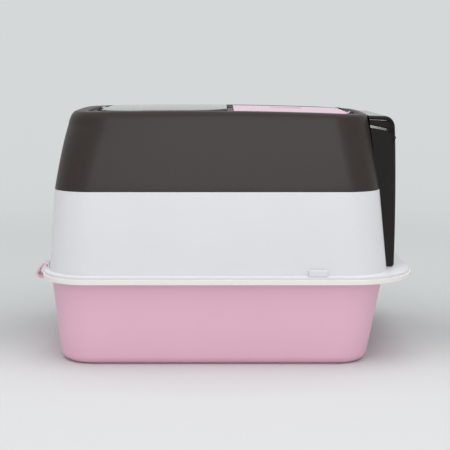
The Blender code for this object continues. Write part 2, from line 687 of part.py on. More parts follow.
def make_shell():
    """The smoky shell: walls, crowned roof, well with the lids' openings, rib between the lids, lugs."""
    outer = shell_rings(0.0)
    inner = shell_rings(SHELL_WALL)
    shell = add_object("hood_shell", loft(outer[::-1] + inner), smoky)
    top = roof_crest + OVERRUN
    below = roof_crest - ROOF_FRONT_DROP - ROOF_SIDE_DROP - WELL_DEPTH - SHELL_WALL - OVERRUN
    access = evenly(rear_lid_outline, ACCESS_BORDER)
    cut(shell, "access opening", loft([level_ring(access, below), level_ring(access, top)]))
    cut(shell, "filter opening", loft([level_ring(tray_hole_outline, below),
                                       level_ring(tray_hole_outline, top)]))
    cut(shell, "entry in the shell", make_entry_cutter())
    cut(shell, "rear hinge slot", hinge_slot(rear_hinge_x, 0.0, REAR_KNUCKLE_WIDTH, -1))
    for side in (-1, 1):
        cut(shell, "front hinge slot", hinge_slot(front_hinge_x, side * front_hinge_y,
                                                  FRONT_KNUCKLE_WIDTH, 1))
    rib_half = LID_PARTING / 2 - RIB_CLEARANCE
    rib_end = front_lid_outline.half - RIB_SET_IN
    for low, high in ((-rib_end, -FINGER_GAP / 2), (FINGER_GAP / 2, rib_end)):
        rib = Outline(parting_x - rib_half, parting_x + rib_half, (high - low) / 2,
                      rib_half / 2, rib_half / 2)
        middle = (low + high) / 2
        rings = []
        for rise in (-SHELL_WALL / 2, RIB_HEIGHT):
            ring = level_ring(rib, 0.0)
            for point in ring:
                point.y += middle
                point.z = floor_height(point.x, point.y) + rise
            rings.append(ring)
        join(shell, "parting rib", loft(rings))
    hinges = [(rear_hinge_x, rear_hinge_z, 0.0, REAR_KNUCKLE_WIDTH)]
    for side in (-1, 1):
        hinges.append((front_hinge_x, front_hinge_z, side * front_hinge_y, FRONT_KNUCKLE_WIDTH))
    for x, z, y, width in hinges:
        for flank in (-1, 1):
            inner_y = y + flank * (width / 2 + HINGE_SIDE_PLAY)
            outer_y = inner_y + flank * LUG_WIDTH
            foot = floor_height(x, max(abs(inner_y), abs(outer_y))) - SINK
            join(shell, "hinge lug", lug(x, z, foot, LUG_RADIUS, min(inner_y, outer_y), max(inner_y, outer_y)))
        cut(shell, "hinge lug bore", rod_along_y(
            (x, y, z), hinge_bore, width + 2 * (HINGE_SIDE_PLAY + LUG_WIDTH + OVERRUN)))
    smooth(shell)


def hinge_slot(axis_x, y, width, ahead_side):
    """A slot through the well's floor under a knuckle; ahead_side points from the lid past the axis."""
    half = width / 2 + HINGE_SIDE_PLAY + HINGE_SLOT_SIDE
    far = axis_x + ahead_side * HINGE_SLOT_BEHIND
    near = axis_x - ahead_side * HINGE_SLOT_AHEAD
    z = floor_height(axis_x, y)
    return block((min(far, near), y - half, z - SHELL_WALL - OVERRUN),
                 (max(far, near), y + half, z + OVERRUN))


def lid_rings(outline, height):
    """Rings over a lid and back under it: crowned top, eased edge, skirt on the well's floor, hollow
    underside."""
    top = FIT_GAP + height
    skirt_inner = evenly(outline, LID_SKIRT)
    spine = spine_of(outline, LID_SPINE_LENGTH, LID_SPINE_WIDTH)
    field = evenly(outline, LID_EDGE_ROUND)
    rings = []
    for share in surface_shares[::-1]:
        rings.append(level_ring(between(field, spine, share), above_floor(top)))
    rings.append(level_ring(outline, above_floor(top - LID_EDGE_ROUND)))
    rings.append(level_ring(outline, above_floor(FIT_GAP)))
    rings.append(level_ring(skirt_inner, above_floor(FIT_GAP)))
    for share in surface_shares:
        rings.append(level_ring(between(skirt_inner, spine, share), above_floor(top - LID_WALL)))
    return rings


def add_knuckle(lid, axis_x, axis_z, y, width, lid_edge_x):
    """A tongue from the lid's edge to a barrel about the hinge pin."""
    low_x = min(axis_x, lid_edge_x)
    high_x = max(axis_x, lid_edge_x)
    reach = LID_SKIRT - LID_WALL
    if lid_edge_x > axis_x:
        high_x += reach
    else:
        low_x -= reach
    foot = max(floor_height(low_x, y), floor_height(high_x, y), floor_height(lid_edge_x, y)) + FIT_GAP
    join(lid, "hinge tongue", block((low_x, y - width / 2, foot),
                                    (high_x, y + width / 2, foot + TONGUE_THICKNESS)))
    join(lid, "hinge barrel", rod_along_y((axis_x, y, axis_z), KNUCKLE_RADIUS, width))
    cut(lid, "hinge bore", rod_along_y((axis_x, y, axis_z), hinge_bore, width + 2 * OVERRUN))


def make_rear_lid():
    """The clear smoky lid, hinged at its rear on one wide knuckle."""
    lid = add_object("rear_lid", loft(lid_rings(rear_lid_outline, REAR_LID_HEIGHT)), clear_smoky,
                     (rear_hinge_x, 0.0, rear_hinge_z))
    add_knuckle(lid, rear_hinge_x, rear_hinge_z, 0.0, REAR_KNUCKLE_WIDTH, rear_lid_outline.rear)
    smooth(lid)
    add_pin("rear_lid_pin", (rear_hinge_x, 0.0, rear_hinge_z), HINGE_PIN_RADIUS,
            REAR_KNUCKLE_WIDTH + 2 * (HINGE_SIDE_PLAY + LUG_WIDTH))


def make_front_lid():
    """The pink lid over the filter, hinged at its front on two knuckles, with a row of vents."""
    lid = add_object("front_lid", loft(lid_rings(front_lid_outline, FRONT_LID_HEIGHT)), pale_pink,
                     (front_hinge_x, 0.0, front_hinge_z))
    for side, name in ((-1, "right"), (1, "left")):
        y = side * front_hinge_y
        add_knuckle(lid, front_hinge_x, front_hinge_z, y, FRONT_KNUCKLE_WIDTH, front_lid_outline.front)
        add_pin(f"front_lid_pin_{name}", (front_hinge_x, y, front_hinge_z), HINGE_PIN_RADIUS,
                FRONT_KNUCKLE_WIDTH + 2 * (HINGE_SIDE_PLAY + LUG_WIDTH))
    spread = tray_hole_outline.half * lid_vent_spread_share
    for index in range(LID_VENT_COUNT):
        y = spread * (index / (LID_VENT_COUNT - 1) - 1 / 2)
        z = floor_height(tray_hole_outline.rear, y)
        cut(lid, "lid vent", block(
            (tray_hole_outline.rear + LID_VENT_SET_IN, y - LID_VENT_WIDTH / 2, z - OVERRUN),
            (tray_hole_outline.front - LID_VENT_SET_IN, y + LID_VENT_WIDTH / 2,
             z + FRONT_LID_HEIGHT + OVERRUN)))
    smooth(lid)


def add_pin(name, centre, radius, length):
    pin = add_object(name, rod_along_y(centre, radius, length), steel, centre)
    smooth(pin)


def make_filter():
    """The slotted tray that hangs in the roof, and the carbon pad on its floor."""
    body = evenly(tray_hole_outline, FIT_GAP)
    inner = evenly(body, TRAY_WALL)
    flange = evenly(tray_hole_outline, -TRAY_FLANGE)
    middle = (body.rear + body.front) / 2
    foot = floor_height(middle, 0.0) - TRAY_DEPTH
    floor = foot + TRAY_WALL
    top = FIT_GAP + TRAY_FLANGE_THICKNESS
    tray = add_object("filter_tray", loft([
        level_ring(body, foot),
        level_ring(body, above_floor(FIT_GAP)),
        level_ring(flange, above_floor(FIT_GAP)),
        level_ring(flange, above_floor(top)),
        level_ring(inner, above_floor(top)),
        level_ring(inner, floor),
    ]), smoky)
    for low_x, high_x in ((inner.rear + VENT_BAR, middle - VENT_BAR / 2),
                          (middle + VENT_BAR / 2, inner.front - VENT_BAR)):
        for index in range(VENT_COUNT):
            y = inner.half * (2 * (index + 1) / (VENT_COUNT + 1) - 1)
            cut(tray, "tray vent", block((low_x, y - VENT_WIDTH / 2, foot - OVERRUN),
                                         (high_x, y + VENT_WIDTH / 2, floor + OVERRUN)))
    smooth(tray)
    pad_outline = evenly(inner, FIT_GAP)
    low = floor + FIT_GAP
    high = low + PAD_THICKNESS
    soft = evenly(pad_outline, PAD_EDGE_ROUND)
    pad = add_object("filter_pad", loft([
        level_ring(soft, low),
        level_ring(pad_outline, low + PAD_EDGE_ROUND),
        level_ring(pad_outline, high - PAD_EDGE_ROUND),
        level_ring(soft, high),
    ]), charcoal)
    smooth(pad)


def make_porch():
    """The glossy porch round the entry: a hollow visor cut to the hood's sloping front."""
    inner = evenly(porch_outline, PORCH_WALL)
    back = shell_top_outline.front - ROOF_FRONT_ROUND

    def rounded_face(share):
        """X round the front edge: a small round at the sides, a large one at the crown."""
        def place(z):
            height = (z - porch_foot) / (porch_top - porch_foot)
            depth = PORCH_SIDE_ROUND + (PORCH_CROWN_ROUND - PORCH_SIDE_ROUND) * max(height, 0.0) ** 6
            return porch_face(z) - depth * (1 - share)
        return place

    rings = [upright_ring(porch_outline, back)]
    for step in range(ROUND_STEPS + 1):
        turn = math.pi / 2 * step / ROUND_STEPS
        away = 1 - math.cos(turn)
        outline = inset(porch_outline, PORCH_FOOT_RADIUS * away, PORCH_CROWN_ROUND * away,
                        PORCH_SIDE_ROUND * away)
        rings.append(upright_ring(outline, rounded_face(math.sin(turn))))
    face_inner = inset(porch_outline, PORCH_FOOT_RADIUS, PORCH_CROWN_ROUND, PORCH_SIDE_ROUND)
    rings.append(upright_ring(entry_outline, porch_face))
    rings.append(upright_ring(entry_outline, lambda z: porch_face(z) - PORCH_WALL))
    rings.append(upright_ring(face_inner, lambda z: porch_face(z) - PORCH_WALL))
    rings.append(upright_ring(inner, lambda z: rounded_face(0.0)(z) - PORCH_WALL))
    rings.append(upright_ring(inner, back))
    porch = add_object("entry_porch", loft(rings, closed=True), gloss_smoky)
    band_form = loft([level_ring(evenly(band_foot_outline, -BAND_FOOT_FILLET - FIT_GAP), flange_under),
                      level_ring(evenly(band_top_outline, -FIT_GAP), shell_step + FIT_GAP)])
    cut(porch, "form of the band", band_form)
    above = roof_crest + OVERRUN
    share = (above - shell_step) / (roof_crest - shell_step)
    clear_of_shell = evenly(shell_base_outline, -FIT_GAP)
    clear_above = evenly(between(shell_base_outline, shell_top_outline, share), -FIT_GAP)
    cut(porch, "form of the shell", loft([level_ring(clear_of_shell, shell_foot),
                                          level_ring(clear_of_shell, shell_step),
                                          level_ring(clear_above, above)]))
    for side in (-1, 1):
        low_y = side * (entry_outline.half - OVERRUN)
        high_y = side * (entry_outline.half + PIVOT_WIDTH + FIT_GAP)
        reach = PIVOT_RADIUS + FIT_GAP
        cut(porch, "pivot notch", block(
            (flap_axis_x - PORCH_WALL - OVERRUN, min(low_y, high_y), flap_axis_z - reach),
            (flap_axis_x + OVERRUN, max(low_y, high_y), flap_axis_z + reach)))
    smooth(porch)


def make_flap():
    """The clear smoky flap with a raised border, a barrel on the steel rod, and a pivot clip at each end."""
    outline = evenly(entry_outline, FLAP_PLAY)
    field = evenly(outline, FLAP_BORDER)
    raised = evenly(outline, FLAP_BORDER - FLAP_BORDER_RISE)
    eased = evenly(outline, FLAP_BORDER_RISE)
    half = FLAP_THICKNESS / 2
    proud = half + FLAP_BORDER_RISE
    axis = (flap_axis_x, 0.0, flap_axis_z)
    top = flap_axis_z - BARREL_RADIUS - FLAP_NECK_RISE
    outline, field, raised, eased = [item._replace(front=item.front - (outline.front - top))
                                     for item in (outline, field, raised, eased)]
    flap = add_object("door_flap", loft([
        upright_ring(field, flap_axis_x - half),
        upright_ring(raised, flap_axis_x - proud),
        upright_ring(eased, flap_axis_x - proud),
        upright_ring(outline, flap_axis_x - half),
        upright_ring(outline, flap_axis_x + half),
        upright_ring(eased, flap_axis_x + proud),
        upright_ring(raised, flap_axis_x + proud),
        upright_ring(field, flap_axis_x + half),
    ]), clear_smoky, axis)
    join(flap, "flap barrel", rod_along_y(axis, BARREL_RADIUS, barrel_width))
    neck = FLAP_NECK_THICKNESS / 2
    join(flap, "flap neck", block(
        (flap_axis_x - neck, SINK - barrel_width / 2, top - FLAP_BORDER / 2),
        (flap_axis_x + neck, barrel_width / 2 - SINK, flap_axis_z)))
    cut(flap, "flap bore", rod_along_y(axis, ROD_RADIUS + FIT_GAP, barrel_width + 2 * OVERRUN))
    smooth(flap)
    add_pin("flap_rod", axis, ROD_RADIUS, rod_length)
    back = porch_face(flap_axis_z) - PORCH_WALL - PIVOT_TAIL
    for side, name in ((-1, "right"), (1, "left")):
        low_y = side * entry_outline.half
        high_y = side * (entry_outline.half + PIVOT_WIDTH)
        profile = [(back, flap_axis_z - PIVOT_RADIUS), (flap_axis_x, flap_axis_z - PIVOT_RADIUS)]
        for step in range(1, 2 * ROUND_STEPS):
            turn = math.pi * step / (2 * ROUND_STEPS) - math.pi / 2
            profile.append((flap_axis_x + PIVOT_RADIUS * math.cos(turn),
                            flap_axis_z + PIVOT_RADIUS * math.sin(turn)))
        profile.append((flap_axis_x, flap_axis_z + PIVOT_RADIUS))
        profile.append((back, flap_axis_z + PIVOT_RADIUS))
        clip = add_object(f"flap_pivot_{name}",
                          slab_along_y(profile, min(low_y, high_y), max(low_y, high_y)), gloss_smoky)
        deep = side * (entry_outline.half + PIVOT_WIDTH - PIVOT_TAIL + FIT_GAP)
        shallow = side * (entry_outline.half - OVERRUN)
        cut(clip, "pivot bore", rod_along_y(
            (flap_axis_x, (deep + shallow) / 2, flap_axis_z), ROD_RADIUS + FIT_GAP,
            abs(deep - shallow)))
        smooth(clip)


def make_side_locks():
    """White lock blocks that slide along the flange over the rim ring's studs."""
    for side, name in ((-1, "right"), (1, "left")):
        y = side * lock_y
        foot = flange_top + FIT_GAP
        lock = add_object(f"side_lock_{name}", block(
            (lock_x - LOCK_LENGTH / 2, y - LOCK_DEPTH / 2, foot),
            (lock_x + LOCK_LENGTH / 2, y + LOCK_DEPTH / 2, foot + LOCK_HEIGHT)), white)
        ease_edges(lock, LOCK_EDGE_ROUND)
        room = STUD_THICKNESS / 2 + FIT_GAP
        cut(lock, "stud room", block(
            (stud_x - STUD_LENGTH / 2 - FIT_GAP - LOCK_TRAVEL, y - room, foot - OVERRUN),
            (stud_x + STUD_LENGTH / 2 + FIT_GAP, y + room, foot + LOCK_HEIGHT - LOCK_WALL)))
        smooth(lock)


def clip_profile():
    """A bowed strip from over the clip's barrel, out round the rim ring's edge and back to its skirt."""
    top = clip_axis_z + CLIP_KNUCKLE_RADIUS - CLIP_WALL / 2
    foot = skirt_foot - CLIP_FOOT_DROP
    edge = rim_outline.rear - FIT_GAP
    reach = CLIP_STAND_OUT - FIT_GAP - CLIP_WALL / 2
    shares = [step / BOW_STEPS for step in range(BOW_STEPS + 1)]
    bulges = [math.sin(math.pi * share ** CLIP_BOW_SKEW) for share in shares]
    path = [(clip_axis_x, top)]
    for share, bulge in zip(shares, bulges):
        path.append((edge - reach * bulge / max(bulges),
                     (top + foot) / 2 + (top - foot) / 2 * math.cos(math.pi * share)))
    outer = []
    inner = []
    for index, point in enumerate(path):
        before = path[max(index - 1, 0)]
        after = path[min(index + 1, len(path) - 1)]
        along = Vector((after[0] - before[0], after[1] - before[1])).normalized()
        if index == 0 or index == len(path) - 1:
            along = Vector((-1.0 if index == 0 else 1.0, 0.0))
        side = Vector((along.y, -along.x)) * CLIP_WALL / 2
        outer.append((point[0] - side.x, point[1] - side.y))
        inner.append((point[0] + side.x, point[1] + side.y))
    return outer + inner[::-1]


def make_rear_clips():
    """Pink clips hinged on the flange's rear edge; each bows round the rim ring."""
    for side, name in ((-1, "right"), (1, "left")):
        y = side * clip_spacing / 2
        axis = (clip_axis_x, y, clip_axis_z)
        clip = add_object(f"rear_clip_{name}", slab_along_y(clip_profile(), y - CLIP_WIDTH / 2,
                                                            y + CLIP_WIDTH / 2), clip_pink, axis)
        join(clip, "clip barrel", rod_along_y(axis, CLIP_KNUCKLE_RADIUS, CLIP_WIDTH))
        cut(clip, "clip bore", rod_along_y(axis, CLIP_PIN_RADIUS + FIT_GAP, CLIP_WIDTH + 2 * OVERRUN))
        middle = (clip_axis_z + skirt_foot) / 2
        cut(clip, "clip window", block(
            (rim_outline.rear - CLIP_STAND_OUT - OVERRUN, y - CLIP_WINDOW_WIDTH / 2,
             middle - CLIP_WINDOW_HEIGHT / 2),
            (rim_outline.rear - CLIP_WALL / 2, y + CLIP_WINDOW_WIDTH / 2, middle + CLIP_WINDOW_HEIGHT / 2)))
        smooth(clip)
        add_pin(f"rear_clip_pin_{name}", axis, CLIP_PIN_RADIUS,
                CLIP_WIDTH + 2 * (HINGE_SIDE_PLAY + CLIP_EAR_WIDTH))


for obj in list(bpy.data.objects):
    bpy.data.objects.remove(obj, do_unlink=True)
parts = new_collection("hooded_litter_box")
guides = new_collection("cutters")
pink = new_material("pink polypropylene", (0.68, 0.44, 0.56), 0.38)
cream = new_material("cream polypropylene", (0.80, 0.78, 0.73), 0.36)
white = new_material("white polypropylene", (0.72, 0.74, 0.77), 0.42)
smoky = new_material("smoky satin plastic", (0.066, 0.058, 0.052), 0.34)
gloss_smoky = new_material("smoky gloss plastic", (0.022, 0.021, 0.020), 0.08)
clear_smoky = new_material("clear smoky plastic", (0.09, 0.085, 0.08), 0.06)
pale_pink = new_material("pale pink plastic", (0.79, 0.58, 0.69), 0.26)
clip_pink = new_material("pink clip plastic", (0.74, 0.50, 0.60), 0.32)
charcoal = new_material("charcoal foam", (0.020, 0.020, 0.021), 0.95)
steel = new_material("steel wire", (0.56, 0.56, 0.57), 0.28, 1.0)
make_pan()
make_rim_ring()
make_band()
make_shell()
make_rear_lid()
make_front_lid()
make_filter()
make_porch()
make_flap()
make_side_locks()
make_rear_clips()
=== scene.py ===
import math
import bmesh
import bpy
import numpy as np
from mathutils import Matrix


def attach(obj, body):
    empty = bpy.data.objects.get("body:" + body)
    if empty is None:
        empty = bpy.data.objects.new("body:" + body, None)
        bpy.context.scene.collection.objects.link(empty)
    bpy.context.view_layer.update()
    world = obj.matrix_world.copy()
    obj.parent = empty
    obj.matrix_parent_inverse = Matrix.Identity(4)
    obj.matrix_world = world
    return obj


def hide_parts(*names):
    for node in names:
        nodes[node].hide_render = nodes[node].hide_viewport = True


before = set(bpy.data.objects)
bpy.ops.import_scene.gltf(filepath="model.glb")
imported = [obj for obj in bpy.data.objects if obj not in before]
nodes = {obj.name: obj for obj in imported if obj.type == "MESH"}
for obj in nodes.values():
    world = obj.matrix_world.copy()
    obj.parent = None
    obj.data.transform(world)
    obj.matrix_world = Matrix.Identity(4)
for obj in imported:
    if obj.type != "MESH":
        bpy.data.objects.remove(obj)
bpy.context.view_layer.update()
print("frame loaded,", len(nodes), "nodes")


# Colour and material helpers

def linear(hexColour):
    # sRGB hex to linear light: divided by 12.92 in the darks, else the 2.4 power curve
    channels = np.array([int(hexColour[i:i + 2], 16) for i in (1, 3, 5)]) / 255
    return (*np.where(channels <= 0.04045, channels / 12.92, ((channels + 0.055) / 1.055) ** 2.4), 1.0)


def addNode(tree, kind, settings=None, links=None):
    # one shader node: settings go to its sockets where a socket has that name, else to the node itself
    node = tree.nodes.new("ShaderNode" + kind)
    for key, value in (settings or {}).items():
        if isinstance(key, int) or key in node.inputs:
            node.inputs[key].default_value = value
        else:
            setattr(node, key, value)
    for key, socket in (links or {}).items():
        tree.links.new(socket, node.inputs[key])
    return node


def startMaterial(name, finish):
    # a Principled shader with the finish's own values, and the object's coordinates
    material = bpy.data.materials.new(name)
    material.use_nodes = True
    tree = material.node_tree
    shader = tree.nodes["Principled BSDF"]
    sockets = {"roughness": "Roughness", "metallic": "Metallic", "ior": "IOR", "gloss": "Specular IOR Level",
               "clear": "Transmission Weight"}
    for key, socket in sockets.items():
        if key in finish:
            shader.inputs[socket].default_value = finish[key]
    return material, tree, shader, addNode(tree, "TexCoord").outputs["Object"]


def mouldedPlastic(name, finish):
    # an injection moulded plastic: its colour drifts a little over some centimetres, as pigment does in
    # the flow, and a spark-eroded mould leaves a fine grain in the surface and in its sheen. The real grain
    # of about 0.15 mm is too fine to show, so it is drawn coarser; on a polished piece the same pattern is
    # the faint waviness of its surface, over several millimetres.
    material, tree, shader, place = startMaterial(name, finish)
    drift = addNode(tree, "TexNoise", {"Scale": 1000 / finish["driftMm"], "Detail": 2.0}, {"Vector": place})
    colour = addNode(tree, "Mix", {"data_type": "RGBA", 6: linear(finish["colour"]),
                                   7: linear(finish["driftColour"])}, {0: drift.outputs["Fac"]})
    tree.links.new(colour.outputs[2], shader.inputs["Base Color"])
    grain = addNode(tree, "TexNoise", {"Scale": 1000 / finish["grainMm"], "Detail": 3.0}, {"Vector": place})
    sheen = addNode(tree, "MapRange", {"To Min": finish["roughness"] - finish["sheenSpread"],
                                       "To Max": finish["roughness"] + finish["sheenSpread"]},
                    {"Value": grain.outputs["Fac"]})
    tree.links.new(sheen.outputs["Result"], shader.inputs["Roughness"])
    bump = addNode(tree, "Bump", {"Strength": 0.35, "Distance": finish["grainDepthMm"] / 1000},
                   {"Height": grain.outputs["Fac"]})
    tree.links.new(bump.outputs["Normal"], shader.inputs["Normal"])
    return material


def foamMaterial(name, finish):
    # open carbon foam: dark rounded cells with thin webs between them; the cells, which the relief sinks,
    # take the darker colour, a painted shade in the pores of the dark charcoal
    material, tree, shader, place = startMaterial(name, finish)
    cells = addNode(tree, "TexVoronoi", {"feature": "DISTANCE_TO_EDGE", "Scale": 1000 / finish["cellMm"]},
                    {"Vector": place})
    web = addNode(tree, "MapRange", {"From Max": finish["webShare"]}, {"Value": cells.outputs["Distance"]})
    # painted shade: the sunken cells get the darker colour, the webs the lighter one
    colour = addNode(tree, "Mix", {"data_type": "RGBA", 6: linear(finish["webColour"]),
                                   7: linear(finish["colour"])}, {0: web.outputs["Result"]})
    tree.links.new(colour.outputs[2], shader.inputs["Base Color"])
    bump = addNode(tree, "Bump", {"Strength": 1.0, "Distance": finish["cellDepthMm"] / 1000, "invert": True},
                   {"Height": web.outputs["Result"]})
    tree.links.new(bump.outputs["Normal"], shader.inputs["Normal"])
    return material


def wireMaterial(name, finish):
    # drawn steel wire: fine die lines along its length, drawn coarser than the real ones so that they show
    material, tree, shader, place = startMaterial(name, finish)
    across = 1000 / finish["lineMm"]
    lines = addNode(tree, "Mapping", {"Scale": (across, finish["linesPerMetre"], across)}, {"Vector": place})
    streak = addNode(tree, "TexNoise", {"Scale": 1.0, "Detail": 2.0}, {"Vector": lines.outputs["Vector"]})
    colour = addNode(tree, "Mix", {"data_type": "RGBA", 6: linear(finish["colour"]),
                                   7: linear(finish["driftColour"])}, {0: streak.outputs["Fac"]})
    tree.links.new(colour.outputs[2], shader.inputs["Base Color"])
    sheen = addNode(tree, "MapRange", {"To Min": finish["sheen"][0], "To Max": finish["sheen"][1]},
                    {"Value": streak.outputs["Fac"]})
    tree.links.new(sheen.outputs["Result"], shader.inputs["Roughness"])
    return material


# polypropylene from a satin mould: soft wide highlights on a slightly waxy body
polypropylene = {"ior": 1.49, "driftMm": 90, "grainMm": 0.9, "sheenSpread": 0.04, "grainDepthMm": 0.020}
panPink = mouldedPlastic("pink polypropylene, moulded satin", {
    **polypropylene, "colour": "#edbfd2", "driftColour": "#e9b9cd", "roughness": 0.40})
ringCream = mouldedPlastic("cream polypropylene, moulded satin", {
    **polypropylene, "colour": "#f7f3f1", "driftColour": "#f3efec", "roughness": 0.36, "driftMm": 80,
    "grainDepthMm": 0.015})
bandWhite = mouldedPlastic("white polypropylene, moulded satin", {
    **polypropylene, "colour": "#e5e6ea", "driftColour": "#e1e2e6", "roughness": 0.42})
# the lid's mould is finer, so it shines a little more
lidPink = mouldedPlastic("pale pink polypropylene, semi-gloss", {
    **polypropylene, "colour": "#dbb5c9", "driftColour": "#d7b0c5", "roughness": 0.28, "driftMm": 80,
    "sheenSpread": 0.03, "grainDepthMm": 0.010})
# acetal, for its spring: dense and a little slick
clipPink = mouldedPlastic("pink acetal, moulded", {
    "colour": "#e4b9ca", "driftColour": "#e0b2c4", "roughness": 0.32, "ior": 1.49, "driftMm": 30,
    "grainMm": 0.9, "sheenSpread": 0.03, "grainDepthMm": 0.010})
# styrene acrylonitrile, near black brown: a satin mould gives it a soft grey sheen, a polished one sharp
# highlights
smokySan = {"ior": 1.57, "driftMm": 80}
shellSmoky = mouldedPlastic("smoky SAN, moulded satin", {
    **smokySan, "colour": "#3a322f", "driftColour": "#362f2c", "roughness": 0.42, "gloss": 0.25,
    "driftMm": 120, "grainMm": 0.8, "sheenSpread": 0.03, "grainDepthMm": 0.012})
porchSmoky = mouldedPlastic("smoky SAN, polished", {
    **smokySan, "colour": "#1a1513", "driftColour": "#161210", "roughness": 0.10, "gloss": 0.25,
    "grainMm": 6.0, "sheenSpread": 0.02, "grainDepthMm": 0.002})
# the same, clear with a tint: the inside shows through it darkly
clearSmoky = mouldedPlastic("clear smoky SAN, polished", {
    **smokySan, "colour": "#8c8379", "driftColour": "#877e75", "roughness": 0.07, "clear": 0.85,
    "grainMm": 12.0, "sheenSpread": 0.01, "grainDepthMm": 0.002})
padCharcoal = foamMaterial("carbon foam, open cell", {
    "colour": "#1d1d1f", "webColour": "#3c3c40", "roughness": 0.95, "ior": 1.5, "cellMm": 2.4,
    "cellDepthMm": 1.0, "webShare": 0.16})
pinSteel = wireMaterial("steel wire, drawn", {
    "colour": "#c9c9cb", "driftColour": "#b4b4b8", "roughness": 0.28, "metallic": 1.0, "sheen": (0.20, 0.40),
    "lineMm": 0.25, "linesPerMetre": 12.0})
print("materials ready")


# Shape helpers. An outline is a row: rear end, front end, half width, rear and front corner radius.

fitGap = 0.0003      # between pieces that lie on each other
cutOver = 0.0040     # how far a cutting form runs past what it cuts
rootDepth = 0.0008   # how deep an added foot stands in its carrier
lugEase = 0.0004     # eased edge of a hinge lug
leastRound = 0.0003
easeSteps = 5        # rows that round off one corner of a profile


def drawnIn(row, rear, front, side):
    # the outline moved in by its own amount at each side; its corners shrink with it
    row = np.asarray(row, float)
    rear, front, side = np.broadcast_arrays(rear, front, side)
    moved = np.stack([row[..., 0] + rear, row[..., 1] - front, row[..., 2] - side,
                      row[..., 3] - (rear + side) / 2, row[..., 4] - (front + side) / 2], -1)
    moved[..., 3:] = np.maximum(moved[..., 3:], leastRound)
    return moved


def evenly(row, amount):
    # the outline moved in by one amount all round; less than nothing moves it out
    return drawnIn(row, amount, amount, amount)


def withRounds(row, rearRound, frontRound):
    # the same outline with corner radii of its own
    return np.array([*row[:3], rearRound, frontRound])


def around(middle, width):
    # the low and high end of a width round its middle
    return middle - width / 2, middle + width / 2


def mixed(first, last, share):
    # rows part of the way from one row to another; share may be an array
    share = np.asarray(share, float)[..., None]
    return np.asarray(first) * (1 - share) + np.asarray(last) * share


def spineOf(row, length, width):
    # a small outline in the middle of a larger one, which a crown closes on
    corner = min(length, width) / 4
    return np.array([*around((row[0] + row[1]) / 2, length), width / 2, corner, corner])


def ringCurve(rows, cornerSteps=22, longSteps=40, shortSteps=28):
    # points round each outline: a quarter circle at every corner, each point its centre plus the radius
    # times cosine and sine of its turn, and even steps along the straight runs between
    rows = np.atleast_2d(rows)
    rear, front, half, rearRound, frontRound = [rows[:, i:i + 1] for i in range(5)]
    turn = np.linspace(0, math.pi / 2, cornerSteps + 1)
    corners = ((front - frontRound, frontRound - half, frontRound, -math.pi / 2),
               (front - frontRound, half - frontRound, frontRound, 0),
               (rear + rearRound, half - rearRound, rearRound, math.pi / 2),
               (rear + rearRound, rearRound - half, rearRound, math.pi))
    arcs = [np.stack([u + r * np.cos(start + turn), v + r * np.sin(start + turn)], -1)
            for u, v, r, start in corners]
    runs = []
    for arc, nextArc, steps in zip(arcs, arcs[1:] + arcs[:1], (shortSteps, longSteps) * 2):
        share = np.arange(1, steps)[None, :, None] / steps
        runs += [arc, arc[:, -1:] * (1 - share) + nextArc[:, :1] * share]
    return np.concatenate(runs, 1)


def profileOf(*corners, ease=0.0, closed=False):
    # rows from corners, each an outline, its level and, where it isn't the common one, its easing: near a
    # corner the rows follow a short parabola whose ends lie on the runs to its neighbours, at most the
    # easing away and less than half the run
    rows = np.array([np.append(corner[0], corner[1]) for corner in corners])
    widths = np.array([corner[2] if len(corner) > 2 else ease for corner in corners])
    before, after = np.roll(rows, 1, 0), np.roll(rows, -1, 0)

    def cutShare(other):
        step = np.abs(other - rows)
        reach = np.hypot(step[:, :3].max(1), step[:, 5]) + 1e-9
        share = np.minimum(widths / reach, 0.45)
        if not closed:
            share[[0, -1]] = 0
        return share[:, None]

    start = rows + (before - rows) * cutShare(before)
    end = rows + (after - rows) * cutShare(after)
    t = np.linspace(0, 1, easeSteps)[None, :, None]
    curve = start[:, None] * (1 - t) ** 2 + rows[:, None] * 2 * t * (1 - t) + end[:, None] * t ** 2
    return curve.reshape(-1, rows.shape[1])


def gridForm(grid, closed=False):
    # a surface from a grid of points, rows by places: each row joins the next, places wrap round, and an
    # open run of rows is shut at its ends by fans to the rows' middles
    rows, count = grid.shape[:2]
    place = np.arange(count)
    following = (place + 1) % count
    low = np.arange(rows if closed else rows - 1)[:, None] * count
    high = (low + count) % (rows * count)
    faces = np.stack([low + place, low + following, high + following, high + place], -1)
    faces = faces.reshape(-1, 4).tolist()
    points = grid.reshape(-1, 3)
    if not closed:
        points = np.vstack([points, grid[0].mean(0), grid[-1].mean(0)])
        last = (rows - 1) * count
        faces += np.stack([following, place, np.full(count, rows * count)], -1).tolist()
        faces += np.stack([last + place, last + following, np.full(count, rows * count + 1)], -1).tolist()
    return points, faces


def levelForm(rows, closed=False, surface=None):
    # outlines in plan; the sixth number of a row is its height, above a surface where one is given
    rows = np.asarray(rows, float)
    flat = ringCurve(rows[:, :5])
    z = rows[:, 5:6] + (surface(flat[..., 0], flat[..., 1]) if surface else 0 * flat[..., 0])
    return gridForm(np.concatenate([flat, z[..., None]], -1), closed)


def standingForm(lowRow, low, highRow, high):
    # an outline carried straight up to another
    return levelForm([np.append(lowRow, low), np.append(highRow, high)])


def barForm(profile, low, high):
    # a closed outline in X and Z carried straight along Y
    profile = np.asarray(profile, float)
    ends = [np.stack([profile[:, 0], np.full(len(profile), y), profile[:, 1]], -1) for y in (low, high)]
    count = len(profile)
    place = np.arange(count)
    following = (place + 1) % count
    faces = np.stack([place, following, count + following, count + place], -1).tolist()
    faces += [place[::-1].tolist(), (place + count).tolist()]
    return np.vstack(ends), faces


def blockForm(alongX, alongY, alongZ):
    # a block from its low and high ends along each axis
    (rear, front), (low, high) = alongX, alongZ
    return barForm([(rear, low), (front, low), (front, high), (rear, high)], *alongY)


